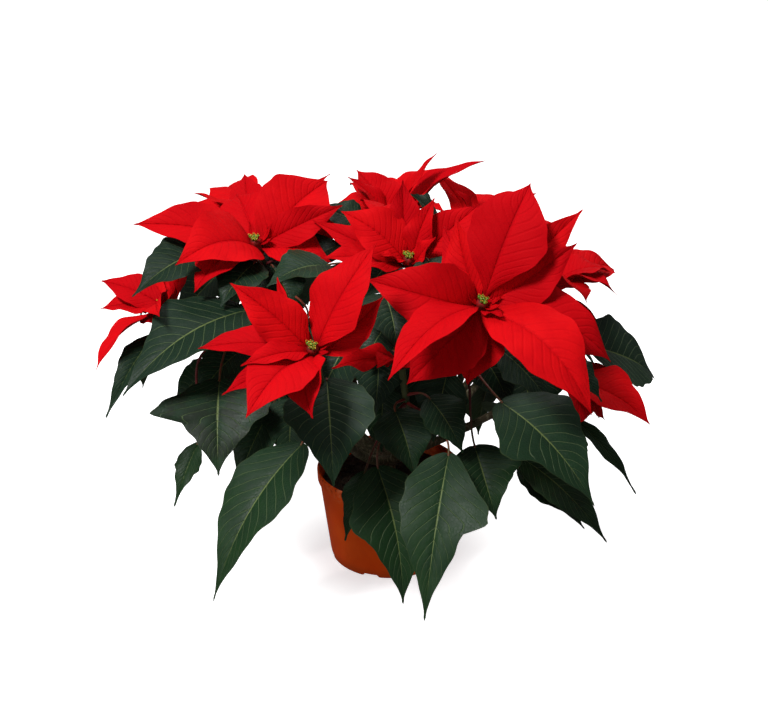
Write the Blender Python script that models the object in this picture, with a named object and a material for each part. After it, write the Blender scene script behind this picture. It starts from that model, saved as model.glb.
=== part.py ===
"""Poinsettia in its growing pot, in metres, +Z up, +X to the right of the front view.

The origin is on the floor under the middle of the pot. Places and lengths in the plant's
layout are in millimetres: right, back, up.
"""

import math
import random
from types import SimpleNamespace

import bpy
from mathutils import Vector
from mathutils.bvhtree import BVHTree

MM = 0.001
SEAT = 0.3 * MM

# Pot, a low 13 cm growing pot
RIM_RADIUS = 65 * MM
BASE_RADIUS = 53 * MM
POT_HEIGHT = 86 * MM
WALL = 1.6 * MM
COLLAR_HEIGHT = 10.5 * MM
COLLAR_STEP = 2.2 * MM
FOOT_HEIGHT = 4 * MM
FOOT_WIDTH = 5 * MM
POT_SIDES = 32
FOOT_NOTCHES = 6
NOTCH_HEIGHT = 2.8 * MM
DRAIN_HOLES = 4

# Soil and woody stem
SOIL_TOP = 74 * MM
TRUNK_RADIUS = 7 * MM
TRUNK_FOOT = 32 * MM
FORK_HEIGHT = 92 * MM
LIMB_RADII = (4.6 * MM, 3.4 * MM)
LIMB_STEPS = 4
LIMB_NECK = 6 * MM

# Shoots, stalks and blooms
SHOOT_RADIUS = 3.0 * MM
STALK_RADIUS = 1.15 * MM
STALK_INSET = 3 * MM
STALK_ROOT = 0.5 * MM
STALK_PULL = 0.35
STALK_STEPS = 2
STALK_SIDES = 3
HUB_RADIUS = 5.2 * MM
HUB_LENGTH = 16 * MM
CYATHIUM_RADIUS = 2.3 * MM
CLUSTER_RADIUS = 4.6 * MM
CLUSTER_HEIGHT = 7.5 * MM

# Blades
BLADE_THICKNESS = 0.85 * MM
BLADE_CLEARANCE = 0.7 * MM
CROWN_START = 0.30
ROOT_DEPTH = 5.5 * MM
ROOT_STAGGER = 2.3 * MM
ROOT_SPREAD = 3.2 * MM
BRACT_STEPS = (0.0, 0.30, 0.54, 0.78, 1.0)
SMALL_BRACT_STEPS = (0.0, 0.34, 0.70, 1.0)
SMALL_BRACT_WIDTH = 46
LEAF_STEPS = (0.0, 0.14, 0.42, 0.74, 1.0)
SMALL_LEAF_STEPS = (0.0, 0.18, 0.55, 1.0)
SMALL_LEAF_WIDTH = 52
LOBED_STEPS = (0.0, 0.14, 0.42, 0.48, 0.76, 1.0)
LOBE_PLACE = 0.42
LOBE_RISE = 0.26
LOBE_FALL = 0.07
LEAF_SLIDE_SHARE = 0.5
LEAF_FACING = Vector((0.0, -0.25, 1.0))
FRONT_DEPTH = Vector((0.0, 0.92, -0.39))


def bract(right, back, up, width, bow=0.07, roll=0, fold=0.22, wave=1.2, fullness=1.25, widest=0.40):
    """One red bract: its reach from the bloom's heart to its tip, and its form."""
    return SimpleNamespace(reach=(right, back, up), width=width, bow=bow, roll=roll, fold=fold,
                           wave=wave, fullness=fullness, widest=widest, taper=2.0)


def leaf(base, tip, width, lobes=(0, 0), bow=0.08, roll=0, fold=0.16, wave=1.0, start=0.3):
    """One leaf: where its blade begins and ends, its lobes, and where its stalk leaves the shoot."""
    return SimpleNamespace(base=base, tip=tip, width=width, lobes=lobes, bow=bow, roll=roll, fold=fold,
                           wave=wave, start=start, fullness=0.62, widest=0.35, taper=1.4)


# Each bloom: its heart, the way it faces, the length of its shoot, its bracts and leaves
BLOOMS = {
    "front_right": SimpleNamespace(
        heart=(73, -90, 278), facing=(0.12, -0.50, 0.86), shoot=92,
        bracts=[
            bract(37, 32, 86, 62, bow=0.14, fold=0.10, fullness=1.9, widest=0.56),
            bract(81, 42, 62, 34, roll=20),
            bract(65, 14, 54, 40, roll=35, fold=0.3),
            bract(-92, 2, 17, 56, bow=0.20, roll=-34, fullness=0.9, widest=0.34),
            bract(-79, -62, -40, 42, bow=0.12, roll=24),
            bract(-60, -38, -55, 56, bow=0.04, roll=-10, fullness=0.8),
            bract(81, -60, -71, 60, bow=0.20, fold=0.10, fullness=0.8),
            bract(105, -16, -42, 58, bow=0.22, fold=0.12, fullness=0.9),
            bract(-20, 34, 58, 30, roll=-40),
            bract(-30, 50, 46, 28, roll=-40),
            bract(14, -24, -4, 13, bow=0.04),
            bract(-12, -28, -60, 46, bow=0.06, fullness=0.9),
        ],
        leaves=[
            leaf((89, -95, 193), (161, -150, 128), 80, lobes=(0.0, 0.12), bow=0.12, start=0.15),
            leaf((147, -55, 214), (174, -78, 185), 24, start=0.35),
            leaf((71, -72, 142), (88, -112, 94), 58, lobes=(0.1, 0), start=0.05),
            leaf((92, -50, 220), (133, -72, 181), 50, start=0.4),
            leaf((47, -62, 206), (34, -84, 151), 46, start=0.25),
            leaf((72, -24, 207), (96, -32, 155), 50, start=0.3),
        ],
    ),
    "front_left": SimpleNamespace(
        heart=(-58, -150, 264), facing=(-0.10, -0.52, 0.85), shoot=76,
        bracts=[
            bract(48, 14, 76, 48, bow=0.08, fold=0.12),
            bract(-60, 6, 48, 36, roll=-25, fold=0.3),
            bract(-27, 26, 46, 28, roll=-60),
            bract(50, -4, 44, 28, roll=45, fold=0.3),
            bract(-85, -14, 4, 34, roll=8),
            bract(-44, -58, -31, 50, bow=0.14, fold=0.12),
            bract(2, -48, -37, 36, bow=0.20, roll=25),
            bract(-64, -40, -22, 26, bow=0.10),
            bract(-50, -24, -10, 22, bow=0.10),
        ],
        leaves=[
            leaf((-70, -108, 162), (-138, -184, 62), 62, bow=0.10, roll=10, start=0.15),
            leaf((-49, -122, 225), (-43, -172, 157), 68, bow=0.16, start=0.35),
            leaf((-98, -62, 172), (-128, -92, 110), 40, start=0.1),
            leaf((-85, -60, 180), (-89, -82, 130), 46, start=0.3),
        ],
    ),
    "left": SimpleNamespace(
        heart=(-113, 0, 300), facing=(-0.20, -0.36, 0.91), shoot=80,
        bracts=[
            bract(-103, 8, 10, 42, bow=0.08, roll=-15, fold=0.35),
            bract(-67, 28, -12, 28),
            bract(60, 52, 36, 60, bow=0.12, roll=26, fold=0.3, fullness=0.9, widest=0.48),
            bract(62, 84, 34, 26),
            bract(-60, -56, -4, 62, bow=0.16, roll=-20, fold=0.25, fullness=0.8, widest=0.27),
            bract(74, 12, 25, 30, roll=45, fold=0.3),
            bract(64, -18, -14, 46, bow=0.14),
            bract(-46, -50, -30, 42, bow=0.16, fullness=0.9, widest=0.5),
            bract(-22, 72, 18, 44, bow=0.10),
        ],
        leaves=[
            leaf((-117, -42, 252), (-210, -118, 208), 76, bow=0.10, start=0.7),
            leaf((-151, -10, 294), (-207, -60, 269), 50, bow=0.08, roll=-10, start=0.85),
            leaf((-66, -8, 292), (-92, -34, 286), 26, start=0.8),
            leaf((-140, -66, 200), (-137, -124, 141), 78, lobes=(0.08, 0.2), bow=0.08, start=0.2),
            leaf((-70, -46, 240), (-106, -82, 208), 46, start=0.45),
            leaf((-84, -30, 208), (-92, -72, 148), 60, start=0.1),
            leaf((-112, 44, 268), (-118, 94, 254), 52, start=0.7),
            leaf((-70, 12, 220), (-40, -8, 164), 54, start=0.1),
            leaf((-126, -28, 210), (-161, -62, 178), 46, start=0.25),
            leaf((-136, -10, 194), (-140, -30, 148), 46, start=0.1),
            leaf((-112, -10, 282), (-138, -42, 254), 50, start=0.75),
            leaf((-99, 0, 276), (-79, -22, 242), 46, start=0.6),
            leaf((-110, 34, 288), (-79, 22, 252), 54, start=0.75),
        ],
    ),
    "middle": SimpleNamespace(
        heart=(16, -20, 291), facing=(-0.05, -0.36, 0.93), shoot=84,
        bracts=[
            bract(-56, 10, 36, 44, bow=0.10, roll=-20, fold=0.3),
            bract(-80, 16, 26, 24, roll=-30),
            bract(-72, -34, 10, 34, roll=-10),
            bract(22, -10, 24, 20, roll=30),
            bract(-25, -20, 9, 15, bow=0.04),
            bract(-5, 16, 62, 32, bow=0.02),
            bract(16, 14, 48, 24, roll=20),
            bract(60, 14, 42, 38, roll=30),
            bract(10, 72, 14, 40, bow=0.14),
        ],
        leaves=[
            leaf((-4, -58, 272), (6, -98, 238), 56, bow=0.14, start=0.7),
            leaf((-49, -34, 288), (-98, -70, 282), 48, bow=0.10, start=0.75),
            leaf((48, -42, 250), (70, -64, 214), 46, start=0.4),
            leaf((-30, -30, 226), (-62, -62, 164), 56, start=0.3),
            leaf((30, -10, 202), (44, -40, 138), 56, start=0.1),
            leaf((-8, -46, 220), (-12, -74, 170), 44, start=0.2),
            leaf((2, -44, 184), (6, -64, 132), 42, start=0.05),
            leaf((2, -24, 287), (-18, -44, 259), 44, start=0.75),
            leaf((-4, -58, 243), (-20, -80, 219), 44, start=0.45),
            leaf((30, -22, 287), (44, -42, 260), 44, start=0.75),
        ],
    ),
    "rear_middle": SimpleNamespace(
        heart=(5, 100, 294), facing=(0.0, 0.05, 1.0), shoot=78,
        bracts=[
            bract(-24, 24, 40, 44, roll=-20),
            bract(-38, -4, 38, 22, roll=-30),
            bract(32, 6, 56, 24, roll=20),
            bract(82, -2, 48, 40, bow=0.10, roll=10, fold=0.3),
            bract(-58, -22, 22, 42, bow=0.12, roll=-10),
            bract(-20, -56, 12, 46, bow=0.20),
            bract(44, -40, 12, 36, bow=0.14),
            bract(48, 62, 24, 44, bow=0.14),
            bract(-42, 66, 14, 46, bow=0.14),
        ],
        leaves=[
            leaf((-24, 56, 294), (-64, 62, 310), 40, roll=-10, start=0.75),
            leaf((-20, 134, 246), (-66, 196, 194), 66, lobes=(0.15, 0), start=0.4),
            leaf((30, 60, 218), (52, 28, 158), 60, start=0.1),
            leaf((-34, 62, 214), (-70, 30, 156), 60, start=0.15),
            leaf((-44, 84, 268), (-84, 54, 250), 50, start=0.6),
            leaf((46, 66, 268), (62, 26, 250), 50, start=0.6),
        ],
    ),
    "rear_right": SimpleNamespace(
        heart=(88, 96, 274), facing=(0.20, 0.05, 0.98), shoot=74,
        bracts=[
            bract(-42, 22, 60, 32, roll=-20),
            bract(-32, -12, 46, 24, roll=-30),
            bract(34, 8, 42, 34, roll=20),
            bract(52, 58, 22, 44, bow=0.14),
            bract(72, 16, 12, 40, bow=0.14),
            bract(-12, 82, 16, 46, bow=0.14),
            bract(34, -52, 8, 36, bow=0.16),
        ],
        leaves=[
            leaf((46, 36, 297), (17, 14, 335), 46, bow=0.05, roll=-10, start=0.85),
            leaf((124, 126, 220), (168, 170, 154), 62, start=0.3),
            leaf((60, 60, 208), (84, 20, 148), 56, start=0.1),
            leaf((100, 48, 234), (112, 2, 202), 54, start=0.5),
        ],
    ),
    "right": SimpleNamespace(
        heart=(146, 32, 256), facing=(0.50, -0.10, 0.86), shoot=74,
        bracts=[
            bract(50, 0, 4, 40, bow=0.18, roll=-10),
            bract(52, -22, -5, 34, bow=0.20),
            bract(62, 38, -2, 42, bow=0.18),
            bract(20, -52, -6, 38, bow=0.18),
            bract(12, 66, 12, 44, bow=0.16),
            bract(-30, 40, 34, 34, roll=10),
        ],
        leaves=[
            leaf((175, 16, 196), (248, 60, 145), 76, bow=0.10, roll=22, start=0.1),
            leaf((164, 66, 194), (222, 104, 138), 64, lobes=(0, 0.15), start=0.15),
            leaf((118, -10, 194), (120, -62, 138), 58, start=0.15),
        ],
    ),
    "far_left": SimpleNamespace(
        heart=(-194, 2, 242), facing=(-0.62, -0.24, 0.75), shoot=64,
        bracts=[
            bract(-57, 22, 12, 30, bow=0.10),
            bract(-57, 0, -6, 30, bow=0.10),
            bract(-46, -72, -32, 38, bow=0.14),
            bract(2, -62, 4, 36, bow=0.12),
            bract(16, -72, 10, 26, bow=0.10),
            bract(-40, 62, -12, 40, bow=0.14),
            bract(12, 70, 26, 42, bow=0.14),
            bract(38, 20, 52, 36, roll=10),
        ],
        leaves=[
            leaf((-200, -18, 220), (-232, -86, 174), 24, fold=0.4, start=0.5),
            leaf((-170, -6, 112), (-189, -42, 67), 22, lobes=(0.15, 0.1), start=0.05),
            leaf((-196, 60, 184), (-238, 104, 116), 64, lobes=(0.15, 0.1), start=0.3),
            leaf((-150, 66, 148), (-164, 112, 72), 66, start=0.1),
            leaf((-160, 24, 170), (-200, 34, 116), 56, start=0.2),
        ],
    ),
    "rear_left": SimpleNamespace(
        heart=(-128, 92, 290), facing=(-0.35, 0.25, 0.90), shoot=78,
        bracts=[
            bract(-28, 14, 36, 28, roll=-10),
            bract(-46, -12, 24, 26),
            bract(-10, 46, 34, 34, roll=10),
            bract(-78, 34, -4, 44, bow=0.16),
            bract(-32, 84, -2, 46, bow=0.16),
            bract(36, 66, 14, 44, bow=0.16),
            bract(46, 4, 26, 30, roll=20),
        ],
        leaves=[
            leaf((-176, 96, 234), (-240, 118, 180), 66, bow=0.12, start=0.5),
            leaf((-130, 150, 220), (-158, 204, 152), 68, lobes=(0.1, 0.2), start=0.3),
            leaf((-96, 60, 214), (-120, 20, 148), 60, start=0.1),
            leaf((-150, 60, 250), (-198, 52, 192), 62, start=0.5),
            leaf((-108, 112, 210), (-112, 162, 136), 66, start=0.15),
            leaf((-92, 84, 160), (-104, 112, 92), 54, start=0.05),
        ],
    ),
    "low_right": SimpleNamespace(
        heart=(155, -8, 178), facing=(0.72, -0.34, 0.60), shoot=56,
        bracts=[
            bract(68, -36, -30, 56, bow=0.14, roll=10),
            bract(0, -62, -20, 38, bow=0.14),
            bract(62, 30, -38, 40, bow=0.14),
            bract(36, 2, -44, 34, bow=0.10),
        ],
        leaves=[
            leaf((112, -14, 90), (163, -42, 40), 44, start=0.05),
            leaf((114, -38, 114), (187, -78, 52), 48, lobes=(0.12, 0), start=0.1),
            leaf((168, 34, 118), (226, 2, 55), 19, start=0.5),
            leaf((152, 50, 112), (190, 84, 44), 54, start=0.25),
            leaf((112, 62, 116), (128, 106, 48), 50, start=0.1),
        ],
    ),
    "low_middle": SimpleNamespace(
        heart=(8, -82, 230), facing=(-0.10, -0.42, 0.90), shoot=66,
        bracts=[
            bract(-54, -22, -4, 26, bow=0.12, wave=3.0),
            bract(20, -42, 2, 24, bow=0.12),
            bract(-18, -44, 6, 26, bow=0.12),
        ],
        leaves=[
            leaf((-10, -102, 138), (11, -150, 37), 64, lobes=(0.06, 0.1), bow=0.10, start=0.1),
            leaf((48, -108, 153), (27, -190, 48), 62, lobes=(0.24, 0.0), bow=0.10, start=0.1),
            leaf((4, -78, 178), (20, -112, 134), 50, start=0.2),
            leaf((32, -76, 188), (60, -98, 148), 44, start=0.3),
            leaf((-20, -84, 124), (-37, -104, 69), 24, start=0.04),
        ],
    ),
    "back_left": SimpleNamespace(
        heart=(-70, 138, 250), facing=(-0.25, 0.60, 0.76), shoot=72, bracts=None, leaves=None),
    "back_middle": SimpleNamespace(
        heart=(30, 128, 246), facing=(0.10, 0.66, 0.75), shoot=72, bracts=None, leaves=None),
    "back_right": SimpleNamespace(
        heart=(128, 96, 214), facing=(0.55, 0.45, 0.70), shoot=64, bracts=None, leaves=None),
}

# Growth of the blooms that the front view hides
BACK_SEED = 24
BACK_BRACTS = 7
BACK_BRACT_LENGTHS = (70, 98)
BACK_BRACT_SPREAD = (58, 96)
BACK_LEAVES = 6
BACK_LEAF_LENGTHS = (74, 98)
BACK_STALK_LENGTH = 43
GOLDEN_TURN = math.radians(137.5)

PLASTIC = ((0.42, 0.115, 0.045), 0.55)
SOIL = ((0.018, 0.011, 0.007), 0.95)
WOOD = ((0.085, 0.065, 0.030), 0.80)
LEAF = ((0.020, 0.055, 0.025), 0.55)
BRACT = ((0.60, 0.006, 0.008), 0.60)
BUD = ((0.40, 0.42, 0.06), 0.50)


def clear_scene():
    for item in list(bpy.data.objects):
        bpy.data.objects.remove(item)


def material(name, finish):
    colour, roughness = finish
    made = bpy.data.materials.get(name) or bpy.data.materials.new(name)
    made.use_nodes = True
    shader = made.node_tree.nodes["Principled BSDF"]
    shader.inputs["Base Color"].default_value = (*colour, 1.0)
    shader.inputs["Roughness"].default_value = roughness
    shader.inputs["Metallic"].default_value = 0.0
    return made


def solid(name, vertices, faces, finish_name, finish):
    mesh = bpy.data.meshes.new(name)
    mesh.from_pydata([tuple(v) for v in vertices], [], faces)
    mesh.materials.append(material(finish_name, finish))
    made = bpy.data.objects.new(name, mesh)
    bpy.context.collection.objects.link(made)
    return made


def turned(profile, sides):
    """Vertices and faces of a closed profile of (radius, height) points turned round Z."""
    vertices, rings, faces = [], [], []
    for radius, height in profile:
        if radius == 0:
            rings.append([len(vertices)] * sides)
            vertices.append(Vector((0, 0, height)))
            continue
        rings.append(list(range(len(vertices), len(vertices) + sides)))
        for k in range(sides):
            angle = 2 * math.pi * k / sides
            vertices.append(Vector((radius * math.cos(angle), radius * math.sin(angle), height)))
    for low, high in zip(rings, rings[1:] + rings[:1]):
        for k in range(sides):
            n = (k + 1) % sides
            corners = [low[k], low[n], high[n], high[k]]
            unique = list(dict.fromkeys(corners))
            if len(unique) > 2:
                faces.append(unique)
    return vertices, faces


def tube(points, radii, sides):
    """Vertices and faces of a closed tube along points, with flat ends square to its path."""
    vertices, faces = [], []
    ahead = (points[1] - points[0]).normalized()
    across = ahead.orthogonal().normalized()
    for k, (point, radius) in enumerate(zip(points, radii)):
        before, after = points[max(k - 1, 0)], points[min(k + 1, len(points) - 1)]
        ahead = (after - before).normalized()
        across = (across - ahead * across.dot(ahead)).normalized()
        other = ahead.cross(across)
        for n in range(sides):
            angle = 2 * math.pi * n / sides
            vertices.append(point + (across * math.cos(angle) + other * math.sin(angle)) * radius)
    for k in range(len(points) - 1):
        for n in range(sides):
            m = (n + 1) % sides
            a, b = k * sides, (k + 1) * sides
            faces.append((a + n, a + m, b + m, b + n))
    faces.append(tuple(reversed(range(sides))))
    last = (len(points) - 1) * sides
    faces.append(tuple(range(last, last + sides)))
    return vertices, faces


def curve_points(start, start_pull, end_pull, end, steps):
    """Points on the cubic curve between two ends, each with its pull point."""
    points = []
    for k in range(steps + 1):
        t = k / steps
        s = 1 - t
        points.append(start * s ** 3 + start_pull * (3 * s * s * t)
                      + end_pull * (3 * s * t * t) + end * t ** 3)
    return points


def half_width(t, lobe, form):
    """Share of a blade's half width at t from root to tip: rounded below, drawn out to the tip."""
    if t < form.widest:
        share = math.sin(math.pi / 2 * (0.03 + 0.97 * t / form.widest)) ** form.fullness
    else:
        u = (t - form.widest) / (1 - form.widest)
        share = (1 - u ** form.taper) ** 1.5
    gap = LOBE_PLACE - t
    reach = LOBE_RISE if gap > 0 else LOBE_FALL
    return share * (1 - 0.6 * lobe) + 2.2 * lobe * max(0.0, 1 - abs(gap) / reach)


def blade(root, tip, facing, form, steps, lobes=(0, 0), extra=0.0):
    """Vertices and faces of one thin blade from root to tip, its two faces split alike."""
    chord = tip - root
    length = chord.length
    along = chord / length
    up = (facing - along * facing.dot(along)).normalized()
    side = along.cross(up)
    turn = math.radians(form.roll)
    up, side = up * math.cos(turn) + side * math.sin(turn), side * math.cos(turn) - up * math.sin(turn)
    half = form.width * MM / 2
    thick = BLADE_THICKNESS / 2 + extra
    rows = []
    for k, t in enumerate(steps):
        middle = root + chord * t + up * (form.bow * length * 4 * t * (1 - t))
        tangent = (chord + up * (form.bow * length * 4 * (1 - 2 * t))).normalized()
        normal = (up - tangent * up.dot(tangent)).normalized()
        if k == len(steps) - 1:
            rows.append([(middle, normal)])
            continue
        swell = form.wave * MM * (1 if k % 2 else -1) * (0 if k < 2 else 1)
        right = half * half_width(t, lobes[1], form)
        left = half * half_width(t, lobes[0], form)
        rows.append([
            (middle - side * left + normal * (form.fold * left + swell), normal),
            (middle, normal),
            (middle + side * right + normal * (form.fold * right - swell), normal),
        ])
    vertices, faces, top, under = [], [], [], []
    for sign, store in ((1, top), (-1, under)):
        for row in rows:
            store.append(list(range(len(vertices), len(vertices) + len(row))))
            vertices.extend(point + normal * (sign * thick) for point, normal in row)
    count = len(rows)
    for k in range(count - 1):
        for store, flip in ((top, False), (under, True)):
            a, b = store[k], store[k + 1]
            if len(b) == 3:
                tris = [(a[0], a[1], b[0]), (a[1], b[1], b[0]), (a[1], a[2], b[1]), (a[2], b[2], b[1])]
            else:
                tris = [(a[0], a[1], b[0]), (a[1], a[2], b[0])]
            faces.extend(tuple(reversed(tri)) if flip else tri for tri in tris)
        for edge, flip in ((0, True), (-1, False)):
            a, b, c, d = top[k][edge], top[k + 1][edge], under[k + 1][edge], under[k][edge]
            tris = [(a, c, b), (a, d, c)]
            faces.extend(tuple(reversed(tri)) if flip else tri for tri in tris)
    a, b = top[0], under[0]
    faces.extend([(a[1], a[0], b[0]), (a[1], b[0], b[1]), (a[2], a[1], b[1]), (a[2], b[1], b[2])])
    return vertices, faces


def blade_moves():
    """Small moves of a blade's tip in growing order: in depth, up and sideways."""
    moves = []
    for depth in range(-6, 7):
        for lift in range(-5, 6):
            for slide in range(-5, 6):
                cost = math.sqrt((0.45 * depth) ** 2 + lift ** 2 + slide ** 2)
                if cost <= 5:
                    moves.append((round(cost, 3), abs(lift), depth, lift, slide))
    moves.sort()
    return [(6 * MM * depth, 6 * MM * lift, 6 * MM * slide) for _, _, depth, lift, slide in moves]


MOVES = blade_moves()


class Room:
    """What already stands in the plant, for the bending clear of each new blade."""

    def __init__(self):
        self.taken = []

    def add(self, node, vertices, faces, sheer=False):
        low = Vector([min(v[i] for v in vertices) for i in range(3)])
        high = Vector([max(v[i] for v in vertices) for i in range(3)])
        tree = BVHTree.FromPolygons(vertices, faces)
        self.taken.append((node, sheer, low, high, tree))

    def free(self, node, vertices, faces, crown, crown_faces):
        """True if the whole shape misses other nodes and its free part misses its own blades."""
        low = Vector([min(v[i] for v in vertices) for i in range(3)])
        high = Vector([max(v[i] for v in vertices) for i in range(3)])
        if low.z < 8 * MM:
            return False
        whole = crown_tree = None
        for other, sheer, other_low, other_high, tree in self.taken:
            if any(low[i] > other_high[i] or high[i] < other_low[i] for i in range(3)):
                continue
            if other == node:
                if not sheer:
                    continue
                crown_tree = crown_tree or BVHTree.FromPolygons(crown, crown_faces)
                if crown_tree.overlap(tree):
                    return False
            else:
                whole = whole or BVHTree.FromPolygons(vertices, faces)
                if whole.overlap(tree):
                    return False
        return True


def join(parts):
    """Vertices and faces of several shapes together."""
    vertices, faces = [], []
    for some, some_faces in parts:
        shift = len(vertices)
        vertices.extend(some)
        faces.extend(tuple(i + shift for i in face) for face in some_faces)
    return vertices, faces


def bent_clear(room, node, build):
    """The first small move of a blade that keeps it clear of all that stands already."""
    for move in MOVES:
        parts, crown = build(move, BLADE_CLEARANCE)
        if room.free(node, *join(parts), *crown):
            return move
    return None


def settle(room, tasks):
    """Bends each (node, build) clear in turn; gives shapes and moves by node."""
    settled = {}
    for node, build in tasks:
        shapes, moves = settled.setdefault(node, ([], []))
        move = bent_clear(room, node, build)
        moves.append(move)
        if move is None:
            continue
        parts, crown = build(move)
        room.add(node, *crown, sheer=True)
        room.add(node, *join(parts))
        shapes.extend(parts)
    return settled


def fused(name, parts, finish_name, finish):
    """One solid from overlapping closed shapes, by one union."""
    first = solid(name, *parts[0], finish_name, finish)
    group = bpy.data.collections.new(name + "_parts")
    for k, part in enumerate(parts[1:]):
        extra = solid(f"{name}_part_{k}", *part, finish_name, finish)
        bpy.context.collection.objects.unlink(extra)
        group.objects.link(extra)
    union = first.modifiers.new("union", "BOOLEAN")
    union.operation = "UNION"
    union.operand_type = "COLLECTION"
    union.collection = group
    union.solver = "EXACT"
    bpy.context.view_layer.update()
    depsgraph = bpy.context.evaluated_depsgraph_get()
    mesh = bpy.data.meshes.new_from_object(first.evaluated_get(depsgraph), depsgraph=depsgraph)
    first.modifiers.remove(union)
    first.data = mesh
    for extra in list(group.objects):
        bpy.data.objects.remove(extra)
    bpy.data.collections.remove(group)
    return first


def soften(item, degrees=35):
    item.data.shade_smooth()
    item.data.set_sharp_from_angle(angle=math.radians(degrees))


def cut(item, cutter):
    """Takes a cutter's shape out of an item for good."""
    modifier = item.modifiers.new("cut", "BOOLEAN")
    modifier.operation = "DIFFERENCE"
    modifier.object = cutter
    modifier.solver = "EXACT"
    bpy.context.view_layer.update()
    depsgraph = bpy.context.evaluated_depsgraph_get()
    mesh = bpy.data.meshes.new_from_object(item.evaluated_get(depsgraph), depsgraph=depsgraph)
    item.modifiers.remove(modifier)
    item.data = mesh
    bpy.data.objects.remove(cutter)


def ring_of_bars(name, count, size, radius, height, turn=0.0):
    """Vertices and faces of equal boxes in a ring, as one cutter."""
    parts = []
    for k in range(count):
        angle = turn + 2 * math.pi * k / count
        out = Vector((math.cos(angle), math.sin(angle), 0))
        side = Vector((-math.sin(angle), math.cos(angle), 0))
        corners = []
        for z in (-1, 1):
            for a, b in ((-1, -1), (1, -1), (1, 1), (-1, 1)):
                corners.append(out * (radius + a * size[0] / 2) + side * (b * size[1] / 2)
                               + Vector((0, 0, height + z * size[2] / 2)))
        faces = [(3, 2, 1, 0), (4, 5, 6, 7), (0, 1, 5, 4), (1, 2, 6, 5), (2, 3, 7, 6), (3, 0, 4, 7)]
        parts.append((corners, faces))
    return solid(name, *join(parts), "pot_plastic", PLASTIC)


def make_pot():
    collar_base = POT_HEIGHT - COLLAR_HEIGHT
    below_collar = RIM_RADIUS - COLLAR_STEP
    floor_top = FOOT_HEIGHT + 2 * MM
    inner_low = BASE_RADIUS - WALL - 0.4 * MM
    profile = [
        (0, FOOT_HEIGHT),
        (BASE_RADIUS - FOOT_WIDTH - 1 * MM, FOOT_HEIGHT),
        (BASE_RADIUS - FOOT_WIDTH, 0),
        (BASE_RADIUS - 0.6 * MM, 0),
        (BASE_RADIUS, 0.8 * MM),
        (below_collar, collar_base),
        (RIM_RADIUS - 0.4 * MM, collar_base + 0.6 * MM),
        (RIM_RADIUS, POT_HEIGHT - 1.0 * MM),
        (RIM_RADIUS - 0.8 * MM, POT_HEIGHT),
        (RIM_RADIUS - WALL - 0.4 * MM, POT_HEIGHT),
        (RIM_RADIUS - WALL - 0.8 * MM, collar_base + 1.5 * MM),
        (below_collar - WALL, collar_base - 1.5 * MM),
        (inner_low, floor_top + 1.5 * MM),
        (inner_low - 1.5 * MM, floor_top),
        (0, floor_top),
    ]
    pot = solid("pot", *turned(profile, POT_SIDES), "pot_plastic", PLASTIC)
    notch = (3 * FOOT_WIDTH, 15 * MM, 2 * NOTCH_HEIGHT)
    cut(pot, ring_of_bars("notches", FOOT_NOTCHES, notch, BASE_RADIUS, 0.0, turn=math.radians(-108)))
    drain = (7 * MM, 12 * MM, 5 * FOOT_HEIGHT)
    cut(pot, ring_of_bars("drains", DRAIN_HOLES, drain, 0.62 * BASE_RADIUS, FOOT_HEIGHT,
                          turn=math.radians(12)))
    soften(pot)
    return pot


def make_soil():
    collar_base = POT_HEIGHT - COLLAR_HEIGHT
    floor_top = FOOT_HEIGHT + 2 * MM + SEAT
    low = BASE_RADIUS - WALL - 0.4 * MM - SEAT
    high = RIM_RADIUS - COLLAR_STEP - WALL - 1.2 * SEAT
    lean = (high - low) / (collar_base - 1.5 * MM - floor_top - 1.5 * MM)
    edge = SOIL_TOP - 3 * MM
    hole = TRUNK_RADIUS + SEAT + 0.1 * MM
    profile = [
        (0, floor_top),
        (low - 1.6 * MM, floor_top),
        (low, floor_top + 1.6 * MM),
        (low + lean * (edge - floor_top - 1.6 * MM), edge),
        (high - 5 * MM, SOIL_TOP - 0.5 * MM),
        (0.5 * high, SOIL_TOP + 1.5 * MM),
        (hole, SOIL_TOP + 2.5 * MM),
        (hole, TRUNK_FOOT - SEAT),
        (0, TRUNK_FOOT - SEAT),
    ]
    soil = solid("soil", *turned(profile, POT_SIDES), "potting_soil", SOIL)
    soften(soil)
    return soil


def shoot_line(bloom):
    """Foot, top and direction of a bloom's shoot, and its heart."""
    heart = Vector(bloom.heart) * MM
    ahead = Vector(bloom.facing).normalized()
    top = heart - ahead * (HUB_LENGTH + SEAT)
    foot = heart - ahead * (bloom.shoot * MM)
    return foot, top, ahead, heart


def limb(bloom):
    """A woody branch from the fork to just under a shoot's foot."""
    foot, _, ahead, _ = shoot_line(bloom)
    end = foot - ahead * SEAT
    outward = Vector((end.x, end.y, 0))
    span = outward.length
    start = Vector((0, 0, FORK_HEIGHT)) + outward * 0.02
    neck = end - ahead * LIMB_NECK
    points = curve_points(start, start + outward * 0.42 + Vector((0, 0, 0.16 * span)),
                          neck - ahead * (0.4 * span), neck, LIMB_STEPS) + [end]
    first, last = LIMB_RADII
    radii = [first + (last - first) * k / LIMB_STEPS for k in range(LIMB_STEPS + 1)] + [last]
    return tube(points, radii, 5)


def shoot_stem(foot, top):
    return tube([foot, top], [SHOOT_RADIUS] * 2, 6)


def bloom_hub(heart, ahead):
    """The swollen end of a shoot, which the roots of the bracts stand in."""
    return tube([heart - ahead * HUB_LENGTH, heart], [0.8 * HUB_RADIUS, HUB_RADIUS], 6)


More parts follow.
